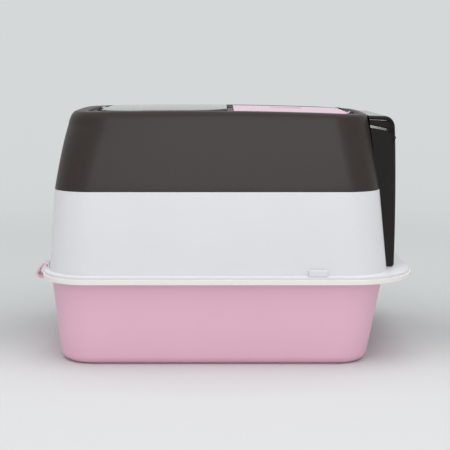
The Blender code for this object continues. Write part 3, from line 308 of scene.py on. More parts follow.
def rodForm(axis, alongY, radius, chamfer=0.0, sides=48):
    # a round rod along Y: circles round the axis, whose radius follows a profile with chamfered ends
    stations = np.array([alongY[0], alongY[0] + chamfer, alongY[1] - chamfer, alongY[1]])[:, None]
    radii = np.array([radius - chamfer, radius, radius, radius - chamfer])[:, None]
    turn = np.linspace(0, 2 * math.pi, sides, endpoint=False)[None, :]
    return gridForm(np.stack([axis[0] + radii * np.cos(turn), stations + 0 * turn,
                              axis[1] + radii * np.sin(turn)], -1))


def together(*forms):
    # several forms as one: points one after another, faces counted on
    points = np.vstack([form[0] for form in forms])
    starts = np.cumsum([0] + [len(form[0]) for form in forms[:-1]])
    faces = [[int(start) + i for i in face] for start, form in zip(starts, forms) for face in form[1]]
    return points, faces


def makeObject(name, form, material=None, triangles=False):
    # a form becomes a mesh at the origin, its doubles merged and its faces turned outwards
    mesh = bpy.data.meshes.new(name)
    mesh.from_pydata(form[0].tolist(), [], form[1])
    build = bmesh.new()
    build.from_mesh(mesh)
    bmesh.ops.remove_doubles(build, verts=build.verts, dist=1e-6)
    bmesh.ops.dissolve_degenerate(build, edges=build.edges, dist=1e-7)
    if triangles:
        bmesh.ops.triangulate(build, faces=build.faces)
    bmesh.ops.recalc_face_normals(build, faces=build.faces)
    build.to_mesh(mesh)
    build.free()
    made = bpy.data.objects.new(name, mesh)
    bpy.context.scene.collection.objects.link(made)
    if material:
        mesh.materials.append(material)
    return made


def freeze(piece):
    # what the modifiers make becomes the piece's own mesh
    bpy.context.view_layer.update()
    shape = bpy.data.meshes.new_from_object(piece.evaluated_get(bpy.context.evaluated_depsgraph_get()))
    piece.modifiers.clear()
    piece.data = shape


def carve(piece, form, operation="DIFFERENCE"):
    # the form is cut from the piece or, with UNION, fused to it
    tool = makeObject("tool", form, triangles=True)
    modifier = piece.modifiers.new("carve", "BOOLEAN")
    modifier.operation = operation
    modifier.solver = "EXACT"
    modifier.object = tool
    freeze(piece)
    bpy.data.objects.remove(tool, do_unlink=True)


def easeEdges(piece, width, angle=38):
    # every edge sharper than the angle in degrees gets a small round
    modifier = piece.modifiers.new("eased", "BEVEL")
    modifier.width = width
    modifier.segments = 3
    modifier.limit_method = "ANGLE"
    modifier.angle_limit = math.radians(angle)
    modifier.use_clamp_overlap = True
    freeze(piece)


def absorb(piece, extras):
    # adds the extra objects' meshes to the piece's own
    build = bmesh.new()
    for source in [piece, *extras]:
        build.from_mesh(source.data)
    build.to_mesh(piece.data)
    build.free()
    for extra in extras:
        bpy.data.objects.remove(extra, do_unlink=True)


def finishPiece(piece, body, slotName, *replaced, angle=32):
    # smooth shading with sharp edges kept, then the piece rides its body; slotName is not used
    piece.data.shade_smooth()
    piece.data.set_sharp_from_angle(angle=math.radians(angle))
    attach(piece, body)
    if replaced:
        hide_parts(*replaced)
    print(piece.name, len(piece.data.polygons), "faces")


# Sizes and outlines, from the rim up. A piece's sizes stand before the rows and levels that follow from
# them; borders, set-ins and tapers are given for the rear, the front and the sides.

rim = {"length": 0.5585, "width": 0.420, "clipStandOut": 0.0125, "rearRound": 0.074, "frontRound": 0.100}
rimFront = (rim["length"] + rim["clipStandOut"]) / 2
rimRow = np.array([rimFront - rim["length"], rimFront, rim["width"] / 2, rim["rearRound"], rim["frontRound"]])

panShape = {"height": 0.1285, "wall": 0.0026, "floor": 0.0036, "baseRound": 0.0130, "lip": 0.0080,
            "lipThickness": 0.0030, "setIn": (0.0120, 0.0455, 0.0120), "rounds": (0.066, 0.064),
            "taper": (0.0135, 0.0255, 0.0095), "footDepth": 0.0016, "footRing": 0.0160, "footRib": 0.0160,
            "pocketRound": 0.0300, "edge": 0.0009}
panTop = withRounds(drawnIn(rimRow, *panShape["setIn"]), *panShape["rounds"])
panBase = drawnIn(panTop, *panShape["taper"])

ringShape = {"plate": 0.0028, "skirtDepth": 0.0074, "skirtWall": 0.0024, "upstand": 0.0060,
             "upstandWall": 0.0022, "guardReach": 0.0140, "guardDrop": 0.0100, "guardWall": 0.0020,
             "rootGap": 0.0030, "edge": 0.0010}
rimUnder = panShape["height"] + fitGap
rimTop = rimUnder + ringShape["plate"]
skirtFoot = rimTop - ringShape["skirtDepth"]

bandShape = {"flangeSetIn": 0.0020, "flange": 0.0040, "height": 0.1221, "wall": 0.0026,
             "ledge": (0.0070, 0.0380, 0.0085), "taper": (0.0102, 0.0132, 0.0085), "rounds": (0.068, 0.064),
             "lip": 0.0018, "rebate": 0.0080, "seat": 0.0050, "seatThickness": 0.0024, "edge": 0.0004,
             "underEdge": 0.0003, "flangeEdge": 0.0024, "footFillet": 0.0014, "topEdge": 0.0005,
             "seatFillet": 0.0020, "innerFillet": 0.0008}
flangeUnder = rimTop + fitGap
flangeTop = flangeUnder + bandShape["flange"]
flangeRow = evenly(rimRow, bandShape["flangeSetIn"])
bandFoot = withRounds(drawnIn(flangeRow, *bandShape["ledge"]), *bandShape["rounds"])
bandTopRow = drawnIn(bandFoot, *bandShape["taper"])
bandTop = flangeTop + bandShape["height"]
rebateFloor = bandTop - bandShape["rebate"]

shellShape = {"wall": 0.0026, "rise": 0.1180, "taper": (0.0180, 0.0158, 0.0213), "rounds": (0.066, 0.060),
              "frontDrop": 0.0063, "sideDrop": 0.0030, "edgeRound": (0.0140, 0.0040, 0.0080),
              "rearEdgeDrop": 0.0200, "frontEdgeDrop": 0.0045, "crestShare": 0.4, "wellDepth": 0.0036,
              "wellBorder": (0.0158, 0.0070, 0.0100), "wellDraft": 0.0008, "wellRim": 0.0010,
              "wellFoot": 0.0008, "stepFillet": 0.0003, "stepEdge": 0.0004, "spine": (0.1300, 0.0300),
              "edgeLean": 24, "bowShare": 0.455, "rimRise": 0.0010, "rimRampShare": 0.12, "cutDepth": 0.0360}
shellFootRow = evenly(bandTopRow, bandShape["lip"] + fitGap)
shellBaseRow = evenly(bandTopRow, fitGap)
shellFoot = rebateFloor + fitGap
shellStep = bandTop + fitGap
shellTopRow = withRounds(drawnIn(shellBaseRow, *shellShape["taper"]), *shellShape["rounds"])
roofRow = drawnIn(shellTopRow, *shellShape["edgeRound"])
wellRow = drawnIn(roofRow, *shellShape["wellBorder"])
floorRow = evenly(wellRow, shellShape["wellDraft"])
roofCrest = bandTop + shellShape["rise"]
wallMiddle = shellStep + (roofCrest - shellStep) * shellShape["bowShare"]


def roofHeight(x, y):
    # the crowned roof: its crest less a square law along X and another along Y
    crestX = shellTopRow[0] + (shellTopRow[1] - shellTopRow[0]) * shellShape["crestShare"]
    along = (x - crestX) / (shellTopRow[1] - crestX)
    across = y / shellTopRow[2]
    return roofCrest - shellShape["frontDrop"] * along ** 2 - shellShape["sideDrop"] * across ** 2


def floorHeight(x, y):
    # the well's floor, which carries the lids: the roof's own height less the well's depth
    return roofHeight(x, y) - shellShape["wellDepth"]


porchShape = {"depth": 0.0145, "lean": 0.0030, "wall": 0.0030, "belowCrest": 0.0105, "sideBorder": 0.0464,
              "topRound": 0.0080, "footRound": 0.0040, "sideRound": 0.0060, "crownRound": 0.0150,
              "entryFrame": 0.0250, "sillRise": 0.0186, "sillRound": 0.020, "entryTopRound": 0.006,
              "edge": 0.0009, "openingMargin": 0.0040, "openingHeadroom": 0.0130, "openingRound": 0.0180,
              "cutReach": 0.0250, "swell": 0.0018, "facetDrop": (0.0166, 0.0256), "facetHeight": 0.0050,
              "facetDepth": 0.0011, "facetReach": 0.0130, "bandGap": 0.0012}
flapShape = {"axisDrop": 0.0335, "axisSetIn": 0.0015, "play": 0.0025, "thickness": 0.0024, "border": 0.0090,
             "borderRise": 0.0008, "edge": 0.0005, "neck": 0.0034, "neckRise": 0.0020, "rod": 0.0015,
             "barrel": 0.0033, "barrelSetIn": 0.0180, "barrelChamfer": 0.0004, "pivotWidth": 0.0110,
             "pivotRadius": 0.0040, "pivotNose": 0.0047, "pivotTail": 0.0012, "pivotEdge": 0.0005}
porchFoot = flangeTop + fitGap
porchTop = roofCrest - porchShape["belowCrest"]
flapAxisZ = porchTop - flapShape["axisDrop"]
entrySill = flangeTop + porchShape["sillRise"]
entryTop = flapAxisZ + flapShape["barrel"] + flapShape["play"]
# these rows stand upright: foot, top, half width, foot and top corner radius
porchRow = np.array([porchFoot, porchTop, shellTopRow[2] - porchShape["sideBorder"],
                     porchShape["footRound"], porchShape["topRound"]])
entryRow = np.array([entrySill, entryTop, porchRow[2] - porchShape["entryFrame"],
                     porchShape["sillRound"], porchShape["entryTopRound"]])
openingRow = np.array([entrySill - porchShape["openingMargin"], flapAxisZ + porchShape["openingHeadroom"],
                       entryRow[2] + porchShape["openingMargin"], porchShape["sillRound"],
                       porchShape["openingRound"]])
openingCurve = ringCurve(openingRow)[0]
openingEnds = (shellTopRow[1] - porchShape["cutReach"], flangeRow[1] + cutOver)
entryTool = gridForm(np.stack([np.column_stack([np.full(len(openingCurve), x), openingCurve[:, ::-1]])
                               for x in openingEnds]))
print("outlines ready")

# Litter pan: a base round as quarter circles, straight tapered walls, an outward lip, and the same inside
shape = panShape


def panWallRows(base, top, roundSize, floorZ, steps=10):
    # rows up the rounded foot of a wall: height and draw-in follow one quarter circle
    turn = np.linspace(0, math.pi / 2, steps)
    z = floorZ + roundSize * (1 - np.cos(turn))
    walls = mixed(base, top, z / panShape["height"])
    return np.column_stack([evenly(walls, roundSize * (1 - np.sin(turn))), z])


innerTop = evenly(panTop, shape["wall"])
innerBase = evenly(panBase, shape["wall"])
innerRound = shape["baseRound"] - shape["wall"]
lipRow = evenly(panTop, -shape["lip"])
lipUnder = shape["height"] - shape["lipThickness"]
halfWay = shape["height"] / 2
upperRows = profileOf(
    (mixed(panBase, panTop, 0.5), halfWay), (mixed(panBase, panTop, lipUnder / shape["height"]), lipUnder),
    (lipRow, lipUnder), (lipRow, shape["height"]), (innerTop, shape["height"]),
    (mixed(innerBase, innerTop, 0.5), halfWay), ease=shape["edge"])
panRows = np.vstack([panWallRows(panBase, panTop, shape["baseRound"], 0.0), upperRows,
                     panWallRows(innerBase, innerTop, innerRound, shape["floor"])[::-1]])
pan = makeObject("pan_body", levelForm(panRows), panPink, triangles=True)
footArea = evenly(panBase, shape["baseRound"] + shape["footRing"])
footRibHalf = shape["footRib"] / 2
pocketHalf = (footArea[2] - footRibHalf) / 2
pockets = []
for rear, front in ((footArea[0], -footRibHalf), (footRibHalf, footArea[1])):
    pocketRow = np.array([rear, front, pocketHalf, shape["pocketRound"], shape["pocketRound"]])
    points, faces = standingForm(pocketRow, -cutOver, pocketRow, shape["footDepth"])
    for side in (-1, 1):
        pockets.append((points + [0, side * (pocketHalf + footRibHalf), 0], faces))
carve(pan, together(*pockets))
finishPiece(pan, "pan", "pan_pink", "litter_pan")

# Rim ring: one closed profile carried round the rim, and a stud for each side lock
shape = ringShape
lockShape = {"behindFront": 0.1485, "depth": 0.0066, "setIn": 0.0004, "studLength": 0.0080,
             "studThickness": 0.0024, "studRise": 0.0060, "studShift": 0.0040}
lockY = flangeRow[2] - lockShape["setIn"] - lockShape["depth"] / 2
studX = rimRow[1] - lockShape["behindFront"] + lockShape["studShift"]


def studBlocks(gap, alongZ):
    # a block for each side lock's stud or, with a gap round it, for its slot
    return [blockForm(around(studX, lockShape["studLength"] + 2 * gap),
                      around(side * lockY, lockShape["studThickness"] + 2 * gap), alongZ) for side in (-1, 1)]


upstandOuter = evenly(bandFoot, bandShape["wall"] + fitGap)
upstandInner = evenly(upstandOuter, shape["upstandWall"])
upstandTop = rimTop + shape["upstand"]
guardEdge = evenly(upstandInner, shape["guardReach"])
guardTop = rimTop - shape["guardDrop"]
guardRoot = evenly(panTop, panShape["wall"] + shape["rootGap"])
skirtInner = evenly(rimRow, shape["skirtWall"])
ringRows = profileOf(
    (rimRow, skirtFoot), (rimRow, rimTop), (upstandOuter, rimTop), (upstandOuter, upstandTop),
    (upstandInner, upstandTop), (guardEdge, guardTop), (guardEdge, guardTop - shape["guardWall"]),
    (guardRoot, rimUnder), (skirtInner, rimUnder), (skirtInner, skirtFoot), ease=shape["edge"], closed=True)
studs = studBlocks(0.0, (rimTop - rootDepth, flangeTop + lockShape["studRise"]))
ring = makeObject("rim_ring_body", together(levelForm(ringRows, closed=True), *studs), ringCream)
finishPiece(ring, "ring", "ring_cream", "rim_ring")

# Hood band: flange, tapered wall, the rebate that the smoky shell stands in, and ears for the rear clips
shape = bandShape
clipShape = {"width": 0.0260, "cornerGap": 0.0180, "wall": 0.0032, "footDrop": 0.0030, "skew": 1.6,
             "knuckle": 0.0034, "pin": 0.0013, "axisRise": 0.0044, "axisSetIn": 0.0030, "earWidth": 0.0030,
             "windowWidth": 0.0140, "windowHeight": 0.0066, "play": 0.0005, "edge": 0.0006,
             "chamfer": 0.0004}
clipY = flangeRow[2] - flangeRow[3] - clipShape["cornerGap"]
clipAxis = (flangeRow[0] + clipShape["axisSetIn"], flangeTop + clipShape["axisRise"])
clipBore = clipShape["pin"] + fitGap


def lugProfile(axis, footZ, radius, steps=20):
    # a foot on the carrier and a half circle round the hinge axis
    turn = np.linspace(0, math.pi, steps)
    head = np.column_stack([axis[0] + radius * np.cos(turn), axis[1] + radius * np.sin(turn)])
    return np.vstack([[axis[0] - radius, footZ], [axis[0] + radius, footZ], head])


def hingeLug(name, axis, footZ, radius, bore, alongY, material):
    # the lug's profile carried along Y, its edges eased and its axis bored
    lug = makeObject(name, barForm(lugProfile(axis, footZ, radius), *alongY), material)
    easeEdges(lug, lugEase, 60)
    carve(lug, rodForm(axis, (alongY[0] - cutOver, alongY[1] + cutOver), bore))
    return lug


def besideHinge(y, width, play, lugWidth):
    # the ends along Y of the two lugs that hold a hinged width between them
    return [around(y + flank * (width / 2 + play + lugWidth / 2), lugWidth) for flank in (-1, 1)]


lipInner = evenly(bandTopRow, shape["lip"])
seatEdge = evenly(lipInner, shape["seat"])
seatUnder = rebateFloor - shape["seatThickness"]
seatRoot = seatUnder - shape["seat"]
wallInnerFoot = evenly(bandFoot, shape["wall"])
wallInnerTop = evenly(mixed(bandFoot, bandTopRow, (seatRoot - flangeTop) / shape["height"]), shape["wall"])
bandRows = profileOf(
    (flangeRow, flangeUnder, shape["underEdge"]), (flangeRow, flangeTop, shape["flangeEdge"]),
    (bandFoot, flangeTop, shape["footFillet"]), (bandTopRow, bandTop, shape["topEdge"]),
    (lipInner, bandTop, shape["topEdge"]), (lipInner, rebateFloor), (seatEdge, rebateFloor),
    (seatEdge, seatUnder), (wallInnerTop, seatRoot, shape["seatFillet"]),
    (wallInnerFoot, flangeTop, shape["innerFillet"]), (wallInnerFoot, flangeUnder),
    ease=shape["edge"], closed=True)
band = makeObject("hood_band_body", levelForm(bandRows, closed=True), bandWhite, triangles=True)
carve(band, together(entryTool, *studBlocks(fitGap, (flangeUnder - cutOver, flangeTop + cutOver))))
ears = []
for side in (-1, 1):
    for alongY in besideHinge(side * clipY, clipShape["width"], clipShape["play"], clipShape["earWidth"]):
        ears.append(hingeLug("ear", clipAxis, flangeTop - rootDepth, clipShape["knuckle"], clipBore, alongY,
                             bandWhite))
absorb(band, ears)
finishPiece(band, "hood", "band_white", "hood_band")

# Lids: outlines set from the roof and its well, and the parting between them
lidShape = {"wall": 0.0020, "skirt": 0.0050, "edge": 0.0012, "skirtEdge": 0.0004, "spine": (0.0600, 0.0800),
            "parting": 0.0100, "partingShare": 0.5324, "sideGap": 0.0010, "rearHeight": 0.0045,
            "rearBorder": 0.0360, "rearRounds": (0.052, 0.060), "frontHeight": 0.0034,
            "frontBorder": 0.0257, "frontRounds": (0.014, 0.040), "accessBorder": 0.0160}
hingeShape = {"pin": 0.0012, "knuckle": 0.0029, "rise": 0.0017, "play": 0.0005, "tongue": 0.0024,
              "lugRadius": 0.0034, "lugWidth": 0.0090, "slotBehind": 0.0095, "slotAhead": 0.0042,
              "slotSide": 0.0015, "slotDepth": 0.0066, "rearReach": 0.0090, "rearWidth": 0.0600,
              "frontReach": 0.0070, "frontWidth": 0.0180, "frontSetIn": 0.0646, "barrelOver": 0.0010,
              "edge": 0.0003}
trayShape = {"borders": (0.0260, 0.0300, 0.0456), "round": 0.0120, "wall": 0.0018, "depth": 0.0160,
             "padThickness": 0.0100, "padEdge": 0.0022, "padSpine": (0.060, 0.140), "padPillow": 0.0003,
             "ventWidth": 0.0030, "ventSetIn": 0.0330, "ventCount": 7, "ventSpreadShare": 0.52}
partingX = roofRow[0] + (roofRow[1] - roofRow[0]) * lidShape["partingShare"]
rearLidRow = np.array([roofRow[0] + lidShape["rearBorder"], partingX - lidShape["parting"] / 2,
                       floorRow[2] - lidShape["sideGap"], *lidShape["rearRounds"]])
frontLidRow = np.array([partingX + lidShape["parting"] / 2, roofRow[1] - lidShape["frontBorder"],
                        floorRow[2] - lidShape["sideGap"], *lidShape["frontRounds"]])
trayHole = withRounds(drawnIn(frontLidRow, *trayShape["borders"]), trayShape["round"], trayShape["round"])
hingeBore = hingeShape["pin"] + fitGap
rearHingeX = rearLidRow[0] - hingeShape["rearReach"]
frontHingeX = frontLidRow[1] + hingeShape["frontReach"]
frontHingeY = frontLidRow[2] - hingeShape["frontSetIn"]
rearAxis = (rearHingeX, floorHeight(rearHingeX, 0.0) + hingeShape["rise"])
frontAxis = (frontHingeX, floorHeight(frontHingeX, frontHingeY) + hingeShape["rise"])
# each lid hinge: its axis in X and Z, its middle along Y, its width, and the way that its slot faces
hinges = [(rearAxis, 0.0, hingeShape["rearWidth"], -1)]
hinges += [(frontAxis, side * frontHingeY, hingeShape["frontWidth"], 1) for side in (-1, 1)]

# Smoky shell: a foot in the band's rebate, a step out over its lip, a bowed wall whose height is the
# parabola through its foot, its middle and the roof's edge, a roof edge turned over along a circle from
# the wall's lean to level, then the crown and the well that the lids lie in
ribShape = {"height": 0.0026, "clearance": 0.0010, "setIn": 0.0046, "fingerGap": 0.0560, "sink": 0.0013,
            "topShare": 0.9, "edge": 0.0006}


def shellGrid(thickness):
    # one side of the shell, with every row moved in by the thickness: none for the outer side
    shape = shellShape
    foot = evenly(shellFootRow, thickness)
    base = evenly(shellBaseRow, thickness)
    top = evenly(shellTopRow, thickness)
    stepZ = shellStep + thickness
    lean = math.radians(shape["edgeLean"])
    turn = np.linspace(lean, math.pi / 2, 14)
    away = 1 - np.cos(turn) / math.cos(lean)
    sink = (1 - np.sin(turn)) / (1 - math.sin(lean))
    rear, front, side = shape["edgeRound"]
    edgeRows = drawnIn(np.tile(top, (len(turn), 1)), rear * away, front * away, side * away)
    rimOfWell = evenly(wellRow, -thickness)
    floorOfWell = evenly(floorRow, -thickness)
    spine = spineOf(floorOfWell, *shape["spine"])
    wellRows = profileOf((edgeRows[-1], 0), (rimOfWell, 0, shape["wellRim"]),
                         (floorOfWell, -shape["wellDepth"], shape["wellFoot"]),
                         (spine, -shape["wellDepth"]))[easeSteps:-easeSteps]
    crownRows = mixed(wellRows[-1], np.append(spine, -shape["wellDepth"]), np.linspace(0, 1, 16)[1:])
    roofRows = np.vstack([np.column_stack([edgeRows, 0 * turn]), wellRows, crownRows])
    flat = ringCurve(roofRows[:, :5])
    x, y = flat[..., 0], flat[..., 1]
    share = np.maximum((shellTopRow[1] - x) / (shellTopRow[1] - shellTopRow[0]), 0)
    edgeDrop = shape["frontEdgeDrop"] + (shape["rearEdgeDrop"] - shape["frontEdgeDrop"]) * share ** 3
    sinks = np.append(sink, np.zeros(len(roofRows) - len(turn)))[:, None]
    # the rim round the well rises a little, except at the front end
    onRim = np.minimum(share / shape["rimRampShare"], 1) * (1 + roofRows[:, 5:6] / shape["wellDepth"] - sinks)
    height = roofHeight(x, y) - thickness - edgeDrop * sinks + roofRows[:, 5:6] + shape["rimRise"] * onRim
    roof = np.stack([x, y, height], -1)
    lowRows = profileOf((foot, shellFoot), (foot, stepZ, shape["stepFillet"]),
                        (base, stepZ, shape["stepEdge"]),
                        (mixed(base, top, 0.5), wallMiddle))[easeSteps - 1:-easeSteps]
    low = ringCurve(lowRows[:, :5])
    low = np.concatenate([low, np.broadcast_to(lowRows[:, 5:6, None], (*low.shape[:2], 1))], -1)
    share = np.linspace(0, 1, 14)[1:-1, None]
    wallFlat = ringCurve(base) * (1 - share[..., None]) + roof[:1, :, :2] * share[..., None]
    wallZ = (stepZ * (1 - share) * (1 - 2 * share) + 4 * wallMiddle * share * (1 - share)
             + roof[:1, :, 2] * share * (2 * share - 1))
    return np.concatenate([low, np.concatenate([wallFlat, wallZ[..., None]], -1), roof])


def throughRoof(row):
    # an outline cut straight down through the roof
    return standingForm(row, roofCrest - shellShape["cutDepth"], row, roofCrest + cutOver)


def hingeSlot(axis, y, width, farSide):
    # the room for a hinge in the well's floor: a block round its axis, longer on the side away from the lid
    z = floorHeight(axis[0], y)
    alongX = sorted((axis[0] + farSide * hingeShape["slotBehind"],
                     axis[0] - farSide * hingeShape["slotAhead"]))
    return blockForm(alongX, around(y, width + 2 * (hingeShape["play"] + hingeShape["slotSide"])),
                     (z - hingeShape["slotDepth"], z + cutOver))


bothSides = np.concatenate([shellGrid(0.0)[::-1], shellGrid(shellShape["wall"])])
shell = makeObject("hood_shell_body", gridForm(bothSides), shellSmoky, triangles=True)
carve(shell, together(throughRoof(evenly(rearLidRow, lidShape["accessBorder"])), throughRoof(trayHole),
                      entryTool, *[hingeSlot(*hinge) for hinge in hinges]))
extras = []
for axis, y, width, farSide in hinges:
    for alongY in besideHinge(y, width, hingeShape["play"], hingeShape["lugWidth"]):
        foot = floorHeight(axis[0], max(abs(alongY[0]), abs(alongY[1]))) - rootDepth
        extras.append(hingeLug("lug", axis, foot, hingeShape["lugRadius"], hingeBore, alongY, shellSmoky))
# the rib in the parting, with a gap in the middle for a finger
ribHalf = lidShape["parting"] / 2 - ribShape["clearance"]
ribLength = frontLidRow[2] - ribShape["setIn"] - ribShape["fingerGap"] / 2
for side in (-1, 1):
    middle = side * (ribShape["fingerGap"] + ribLength) / 2
    ribRow = np.array([partingX - ribHalf, partingX + ribHalf, ribLength / 2, ribHalf / 2, ribHalf / 2])
    rows = profileOf((ribRow, -ribShape["sink"]), (ribRow, ribShape["height"], ribShape["edge"]),
                     (evenly(ribRow, ribHalf * ribShape["topShare"]), ribShape["height"]))
    points, faces = levelForm(rows, surface=lambda x, y: floorHeight(x, y + middle))
    extras.append(makeObject("rib", (points + [0, middle, 0], faces), shellSmoky))
absorb(shell, extras)
finishPiece(shell, "hood", "shell_smoky", "hood_shell")


def lidForm(row, height):
    # a crowned top that follows the roof, an eased edge, a skirt on the well's floor, a hollow underside
    top = fitGap + height
    inside = top - lidShape["wall"]
    skirt = evenly(row, lidShape["skirt"])
    spine = spineOf(row, *lidShape["spine"])
    shares = np.linspace(1, 0, 14)[:-1]
    crown = np.column_stack([mixed(row, spine, shares), np.full(len(shares), top)])
    edge = profileOf((crown[-1, :5], top), (row, top, lidShape["edge"]), (row, fitGap), (skirt, fitGap),
                     (skirt, inside), ease=lidShape["skirtEdge"])
    under = np.column_stack([mixed(skirt, spine, shares[::-1]), np.full(len(shares), inside)])
    return levelForm(np.vstack([crown, edge[easeSteps:-easeSteps], under]), surface=floorHeight)


def knuckle(hinge, lidEdgeX, material):
    # a flat tongue from under the lid's edge to a bored barrel round the hinge axis
    axis, y, width, farSide = hinge
    root = lidEdgeX - farSide * (lidShape["skirt"] - lidShape["wall"])
    foot = max(floorHeight(x, y) for x in (axis[0], root, lidEdgeX)) + fitGap
    tongue = makeObject("tongue", blockForm(sorted((axis[0], root)), around(y, width),
                                            (foot, foot + hingeShape["tongue"])), material)
    easeEdges(tongue, hingeShape["edge"])
    barrelEnds = around(y, width + 2 * hingeShape["barrelOver"])
    carve(tongue, rodForm(axis, barrelEnds, hingeShape["knuckle"], hingeShape["edge"]), "UNION")
    carve(tongue, rodForm(axis, around(y, width + 2 * cutOver), hingeBore))
    return tongue


rearLid = makeObject("rear_lid_panel", lidForm(rearLidRow, lidShape["rearHeight"]), clearSmoky)
absorb(rearLid, [knuckle(hinges[0], rearLidRow[0], clearSmoky)])
finishPiece(rearLid, "roof_lid_rear", "clear_smoky", "rear_lid")

# the front lid has a row of slots for the air that comes through the carbon pad
frontLid = makeObject("front_lid_panel", lidForm(frontLidRow, lidShape["frontHeight"]), lidPink,
                      triangles=True)
ventAlong = (trayHole[0] + trayShape["ventSetIn"], trayHole[1] - trayShape["ventSetIn"])
vents = []
for y in np.linspace(*around(0.0, trayHole[2] * trayShape["ventSpreadShare"]), trayShape["ventCount"]):
    z = floorHeight(trayHole[0], y)
    vents.append(blockForm(ventAlong, around(y, trayShape["ventWidth"]),
                           (z - cutOver, z + lidShape["frontHeight"] + cutOver)))
carve(frontLid, together(*vents))
absorb(frontLid, [knuckle(hinge, frontLidRow[1], lidPink) for hinge in hinges[1:]])
finishPiece(frontLid, "roof_lid_front", "lid_pink", "front_lid")


def wirePin(name, axis, y, length, radius, replaced, chamfer=0.0003):
    # a length of wire round its middle along Y
    pin = makeObject(name, rodForm(axis, around(y, length), radius, chamfer), pinSteel)
    finishPiece(pin, "hood", "pin_steel", replaced)


# Hinge pins, from the outside of one lug to the outside of the other
lidPinOver = 2 * (hingeShape["play"] + hingeShape["lugWidth"])
clipPinLength = clipShape["width"] + 2 * (clipShape["play"] + clipShape["earWidth"])
wirePin("rear_lid_wire", rearAxis, 0.0, hingeShape["rearWidth"] + lidPinOver, hingeShape["pin"],
        "rear_lid_pin")
for side, word in ((-1, "right"), (1, "left")):
    wirePin("front_lid_wire_" + word, frontAxis, side * frontHingeY, hingeShape["frontWidth"] + lidPinOver,
            hingeShape["pin"], "front_lid_pin_" + word)
    wirePin("rear_clip_wire_" + word, clipAxis, side * clipY, clipPinLength, clipShape["pin"],
            "rear_clip_pin_" + word)

# Carbon pad: a flat foam block with soft edges, slightly pillowed
shape = trayShape
trayBody = evenly(trayHole, fitGap)
padRow = evenly(trayBody, shape["wall"] + fitGap)
padLow = floorHeight((trayBody[0] + trayBody[1]) / 2, 0.0) - shape["depth"] + shape["wall"] + fitGap
padHigh = padLow + shape["padThickness"]
padBorder = padHigh - shape["padPillow"]
padSpine = spineOf(padRow, *shape["padSpine"])
nearEdge = mixed(padRow, padSpine, 0.1)
shares = np.linspace(1, 0, 10)[:-1]
padRows = np.vstack([
    np.column_stack([mixed(padRow, padSpine, shares), np.full(len(shares), padLow)]),
    profileOf((nearEdge, padLow), (padRow, padLow), (padRow, padBorder - shape["padPillow"]),
              (nearEdge, padBorder), ease=shape["padEdge"])[easeSteps:-easeSteps],
    np.column_stack([mixed(padRow, padSpine, shares[::-1]),
                     padHigh - shape["padPillow"] * (1 - shares[::-1])])])
pad = makeObject("carbon_pad", levelForm(padRows), padCharcoal)
finishPiece(pad, "hood", "pad_charcoal", "filter_pad")


# Entry porch: a visor whose front edge turns over by quarter ellipses, deepest at its crown
def porchFace(z):
    # the face's place along X, which leans back in step with the height
    return bandFoot[1] + porchShape["depth"] - porchShape["lean"] * (z - porchFoot) / (porchTop - porchFoot)


shape = porchShape
porchBack = shellTopRow[1] - shellShape["edgeRound"][1]
turn = np.linspace(0, math.pi / 2, 12)
away = 1 - np.cos(turn)
roundRows = drawnIn(np.tile(porchRow, (len(turn), 1)), shape["footRound"] * away, shape["crownRound"] * away,
                    shape["sideRound"] * away)
entryTurn = np.linspace(0, math.pi / 2, 5)
entryRows = evenly(np.tile(entryRow, (len(entryTurn), 1)), -shape["edge"] * (1 - np.sin(entryTurn)))
innerRow = evenly(porchRow, shape["wall"])
faceInner = drawnIn(porchRow, shape["footRound"], shape["crownRound"], shape["sideRound"])
flankShares = np.linspace(0, 1, 10)[:-1]
flankRows = np.tile(porchRow, (len(flankShares), 1))
flat = ringCurve(np.vstack([flankRows, roundRows, entryRows, entryRow, faceInner, innerRow, innerRow]),
                 longSteps=220)
y, z = flat[..., 1], flat[..., 0]
height = np.maximum((z - porchFoot) / (porchTop - porchFoot), 0)
depth = shape["sideRound"] + (shape["crownRound"] - shape["sideRound"]) * height ** 6
# where the rows of the round, of the entry's edge and of the inside begin
rounded = len(flankRows)
lip = rounded + len(turn)
inside = lip + len(entryTurn)
x = porchFace(z)
# the face swells a little between foot and crown, by a parabola of the height
x[:inside + 1] += shape["swell"] * 4 * (height * (1 - height))[:inside + 1]
x[rounded:lip] -= depth[rounded:lip] * (1 - np.sin(turn))[:, None]
x[:rounded] = porchBack + (x[rounded] - porchBack) * flankShares[:, None]
x[lip:inside] -= shape["edge"] * (1 - np.cos(entryTurn))[:, None]
x[inside:inside + 2] -= shape["wall"]
x[inside + 2] -= depth[inside + 2] + shape["wall"]
x[inside + 3] = porchBack
# a narrow facet crosses both flanks under the crown: above a line that falls towards the front, the form
# is narrowed in step with the height above it; a flat-topped bump of the height, one over one plus the
# fourth power, bends the rows of points near the line along it
outside = slice(0, lip)
facetMiddle = np.mean(shape["facetDrop"])
facetFall = np.interp(x[outside], (porchBack, porchFace(porchTop)), shape["facetDrop"]) - facetMiddle
fromFacet = z[outside] - (porchTop - facetMiddle)
y[outside] *= 1 - shape["facetDepth"] / porchRow[2] * np.clip(fromFacet / shape["facetHeight"], 0, 1)
z[outside] -= facetFall / (1 + (fromFacet / shape["facetReach"]) ** 4)
porch = makeObject("entry_porch_body", gridForm(np.stack([x, y, z], -1), closed=True), porchSmoky,
                   triangles=True)
